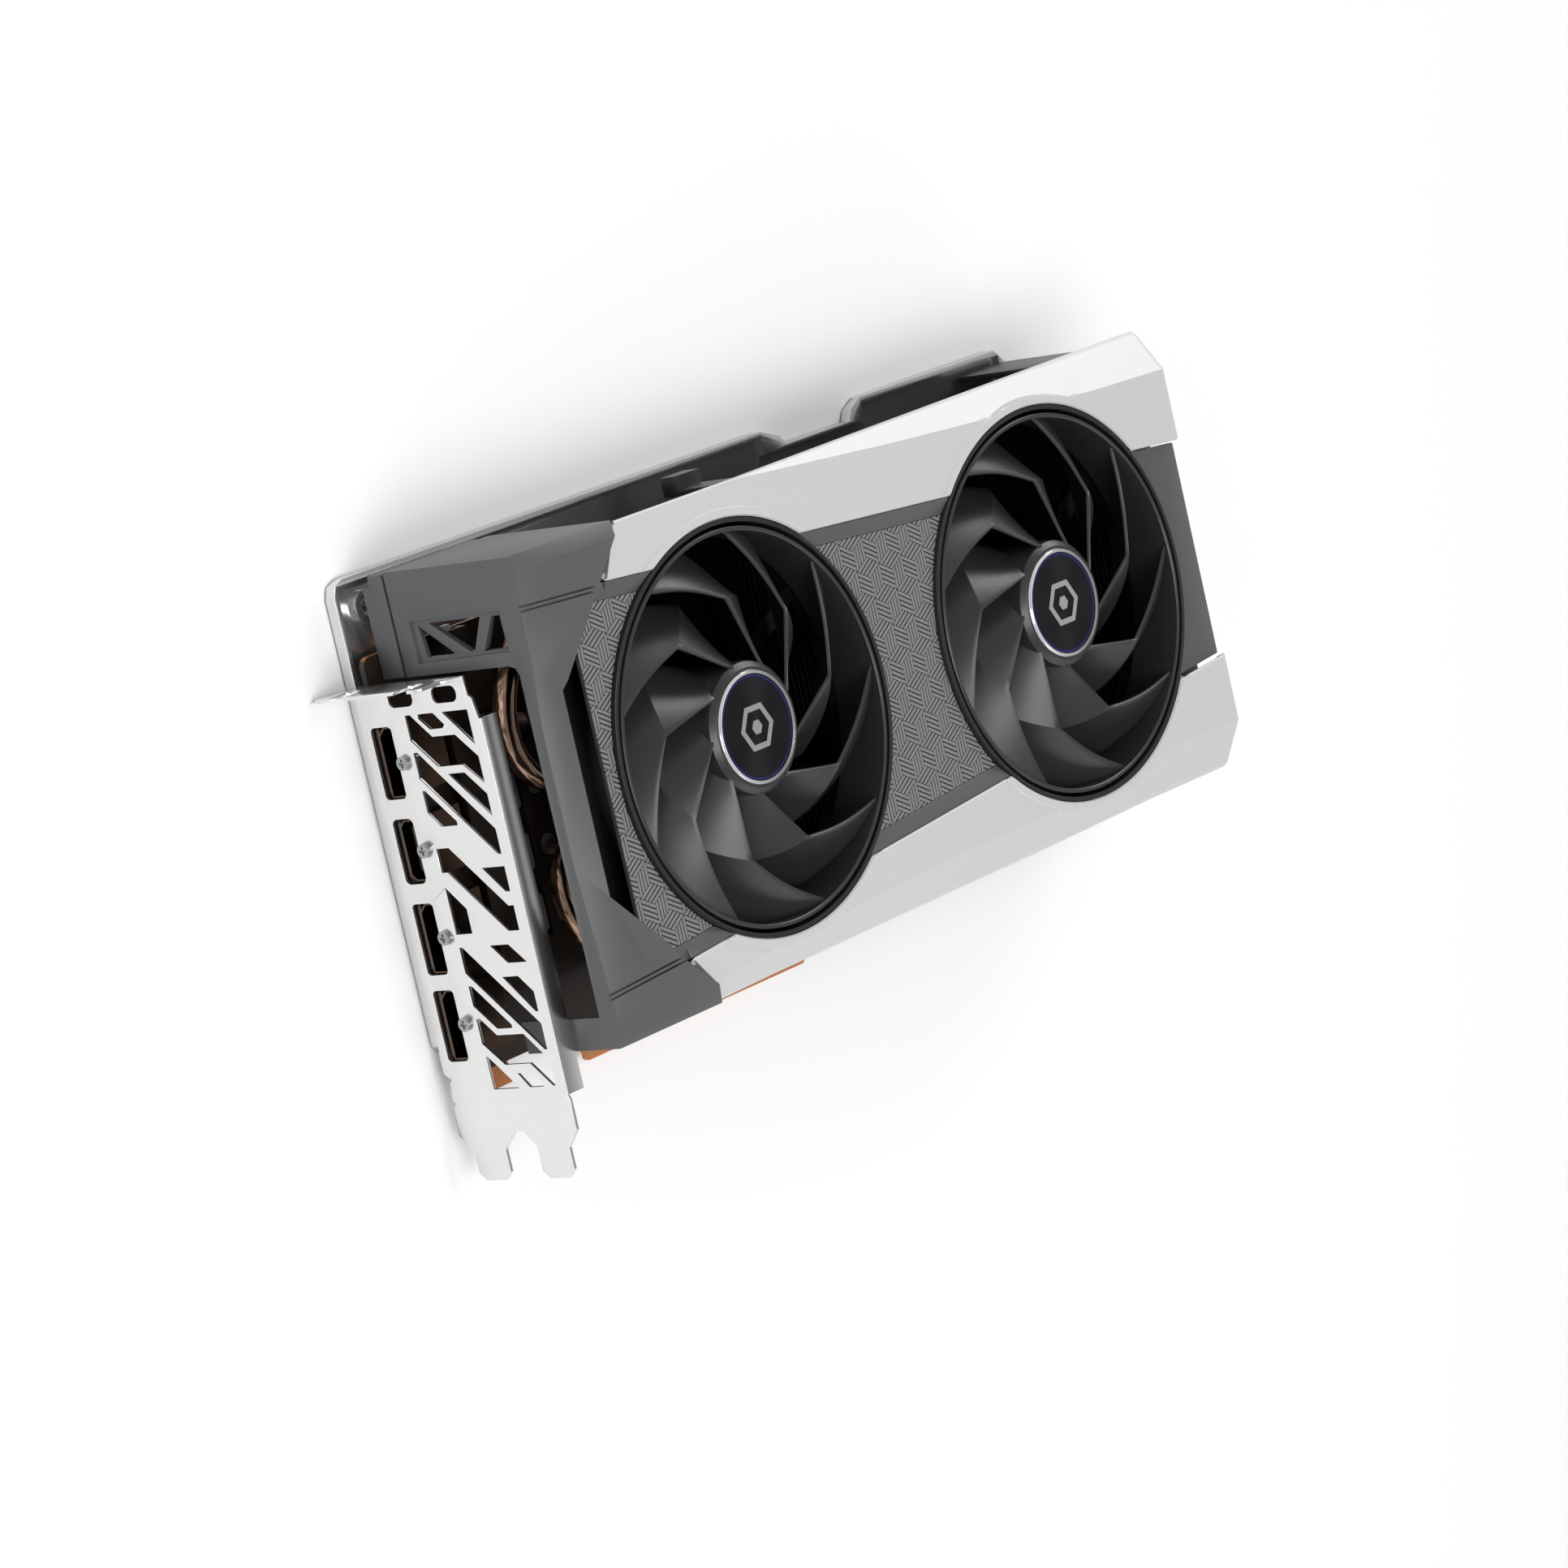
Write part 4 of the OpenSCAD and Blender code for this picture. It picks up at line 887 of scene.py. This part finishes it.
def lattice_tree():
    """Geometry nodes: copies of a cell on a grid whose odd rows shift by half a step."""
    tree, start, end = geometry_tree(
        "staggered field", Piece="Object", Columns="Int", Rows="Int", Step="Float",
        Row_step="Float")
    n, link = tree.nodes.new, tree.links.new

    def maths(kind, a, b):
        node = n("ShaderNodeMath")
        node.operation = kind
        for socket, value in zip(node.inputs, (a, b)):
            if isinstance(value, (int, float)):
                socket.default_value = value
            else:
                link(value, socket)
        return node.outputs[0]

    info = n("GeometryNodeObjectInfo")
    link(start.outputs["Piece"], info.inputs["Object"])
    index = n("GeometryNodeInputIndex")
    spots = n("GeometryNodeMeshLine")
    spots.inputs["Offset"].default_value = (0, 0, 0)
    link(maths("MULTIPLY", start.outputs["Columns"], start.outputs["Rows"]), spots.inputs["Count"])
    row = maths("FLOOR", maths("DIVIDE", index.outputs[0], start.outputs["Columns"]), 0)
    column = maths("MODULO", index.outputs[0], start.outputs["Columns"])
    shift = maths("MULTIPLY", maths("MODULO", row, 2), 0.5)
    place = n("ShaderNodeCombineXYZ")
    link(maths("MULTIPLY", maths("ADD", column, shift), start.outputs["Step"]), place.inputs["X"])
    link(maths("MULTIPLY", row, start.outputs["Row step"]), place.inputs["Y"])
    move = n("GeometryNodeSetPosition")
    link(spots.outputs[0], move.inputs["Geometry"])
    link(place.outputs[0], move.inputs["Position"])
    copies = n("GeometryNodeInstanceOnPoints")
    link(move.outputs[0], copies.inputs["Points"])
    link(info.outputs["Geometry"], copies.inputs["Instance"])
    return close_tree(tree, start, end, copies.outputs[0])


def relief(node, name, columns, corner, tree, cell):
    """A field of raised bars over a plate like the CAD node's with its face lowered; the lowered face
    is painted near black as the shade in the grooves.
    """
    whole = copy_of(node, "insert_outline")
    bars = add("bars", bpy.data.meshes.new("bars"))
    run_tree(bars, tree, {"Piece": cell, "Columns": columns, "Rows": FIELD_ROWS,
                          "Step": CELL_SIDE * math.sqrt(3) * MM, "Row step": CELL_SIDE * 1.5 * MM,
                          "Finish": INSERT_GREY})
    place = CORNER + Vector((corner[0], corner[1], 0)) * MM
    bars.data.transform(Matrix.Translation(place))
    combined(bars, whole, "INTERSECT")
    level = CORNER.z + INSERT * MM
    for v in whole.data.vertices:
        if abs(v.co.z - level) < 0.0001:
            v.co.z -= GROOVE * MM
    whole.name = f"{name}_ground"
    bars.name = name
    # the lowered ground takes the near-black painted shade of the grooves
    wear(whole, "card", GROUND_SHADE, "insert_grey", node)
    wear(bars, "card", INSERT_GREY, "insert_grey")


def make_relief():
    tree, cell = lattice_tree(), relief_cell()
    relief("insert_left", "insert_relief_left", 6, (21.4, 41.4), tree, cell)
    relief("insert_middle", "insert_relief_middle", 10, (101.4, 41.4), tree, cell)
    bpy.data.objects.remove(cell)


# ---- Camera, floor and light -------------------------------------------------------------------

def make_camera():
    """A long lens, above the card and off the bracket's end."""
    data = bpy.data.cameras.new("camera")
    data.lens = 147.94
    data.sensor_width = 36
    data.clip_end = 20
    camera = bpy.data.objects.new("camera", data)
    bpy.context.scene.collection.objects.link(camera)
    back = Vector((-0.743604, 0.152912, 0.650901)).normalized()
    right = Vector((0.258228, 0.963644, 0.068623)).cross(back).normalized()
    up = back.cross(right)
    turn = Matrix((right, up, back)).transposed().to_4x4()
    camera.matrix_world = Matrix.Translation((-1.190813, 0.234464, 1.058210)) @ turn
    bpy.context.scene.camera = camera


def make_floor():
    bm = bmesh.new()
    bmesh.ops.create_grid(bm, x_segments=1, y_segments=1, size=8)
    floor = build("floor", bm, placed=False)
    floor.location.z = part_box("backplate")[0].z - 0.0004
    paper = bpy.data.materials.new("pale floor")
    paper.use_nodes = True
    shader = paper.node_tree.nodes["Principled BSDF"]
    shader.inputs["Base Color"].default_value = (0.93, 0.93, 0.93, 1)
    shader.inputs["Roughness"].default_value = 0.9
    shader.inputs["Specular IOR Level"].default_value = 0.1
    floor.data.materials.append(paper)


def area_light(name, place, aim, size, power):
    data = bpy.data.lights.new(name, "AREA")
    data.shape = "RECTANGLE"
    data.size, data.size_y = size
    data.energy = power
    light = bpy.data.objects.new(name, data)
    bpy.context.scene.collection.objects.link(light)
    light.location = place
    light.rotation_mode = "QUATERNION"
    light.rotation_quaternion = (Vector(aim) - Vector(place)).to_track_quat("-Z", "Y")


def make_light():
    world = bpy.data.worlds.new("studio")
    world.use_nodes = True
    nodes, link = world.node_tree.nodes, world.node_tree.links.new
    where = nodes.new("ShaderNodeTexCoord")
    parts = nodes.new("ShaderNodeSeparateXYZ")
    height = nodes.new("ShaderNodeMapRange")
    height.inputs["From Min"].default_value = 0.0
    height.inputs["From Max"].default_value = 0.75
    height.inputs["To Min"].default_value = 0.90
    height.inputs["To Max"].default_value = 0.26
    link(where.outputs["Generated"], parts.inputs[0])
    link(parts.outputs["Z"], height.inputs["Value"])
    link(height.outputs["Result"], nodes["Background"].inputs["Strength"])
    nodes["Background"].inputs["Color"].default_value = (1, 1, 1, 1)
    bpy.context.scene.world = world
    middle = (0, 0, 0.03)
    area_light("overhead", (-0.1, 0.1, 1.7), middle, (1.2, 0.7), 13.5)
    area_light("left", (-1.6, -0.3, 0.6), middle, (0.9, 0.9), 2)
    area_light("low", (0.3, -1.5, 0.8), middle, (1.2, 0.5), 2)
    area_light("tail side", (1.15, 0.95, 0.50), middle, (0.7, 0.5), 4.5)
    area_light("front", (-0.80, -0.25, 1.35), middle, (0.6, 0.6), 8)
    bpy.context.scene.view_settings.view_transform = "Standard"


make_camera()
make_floor()
make_light()
paint_nodes()
soften_all()
strip(1, "upper_strip", "top_strip")
strip(-1, "lower_strip", "bottom_strip")
make_cap()
make_fans()
make_fins()
make_relief()
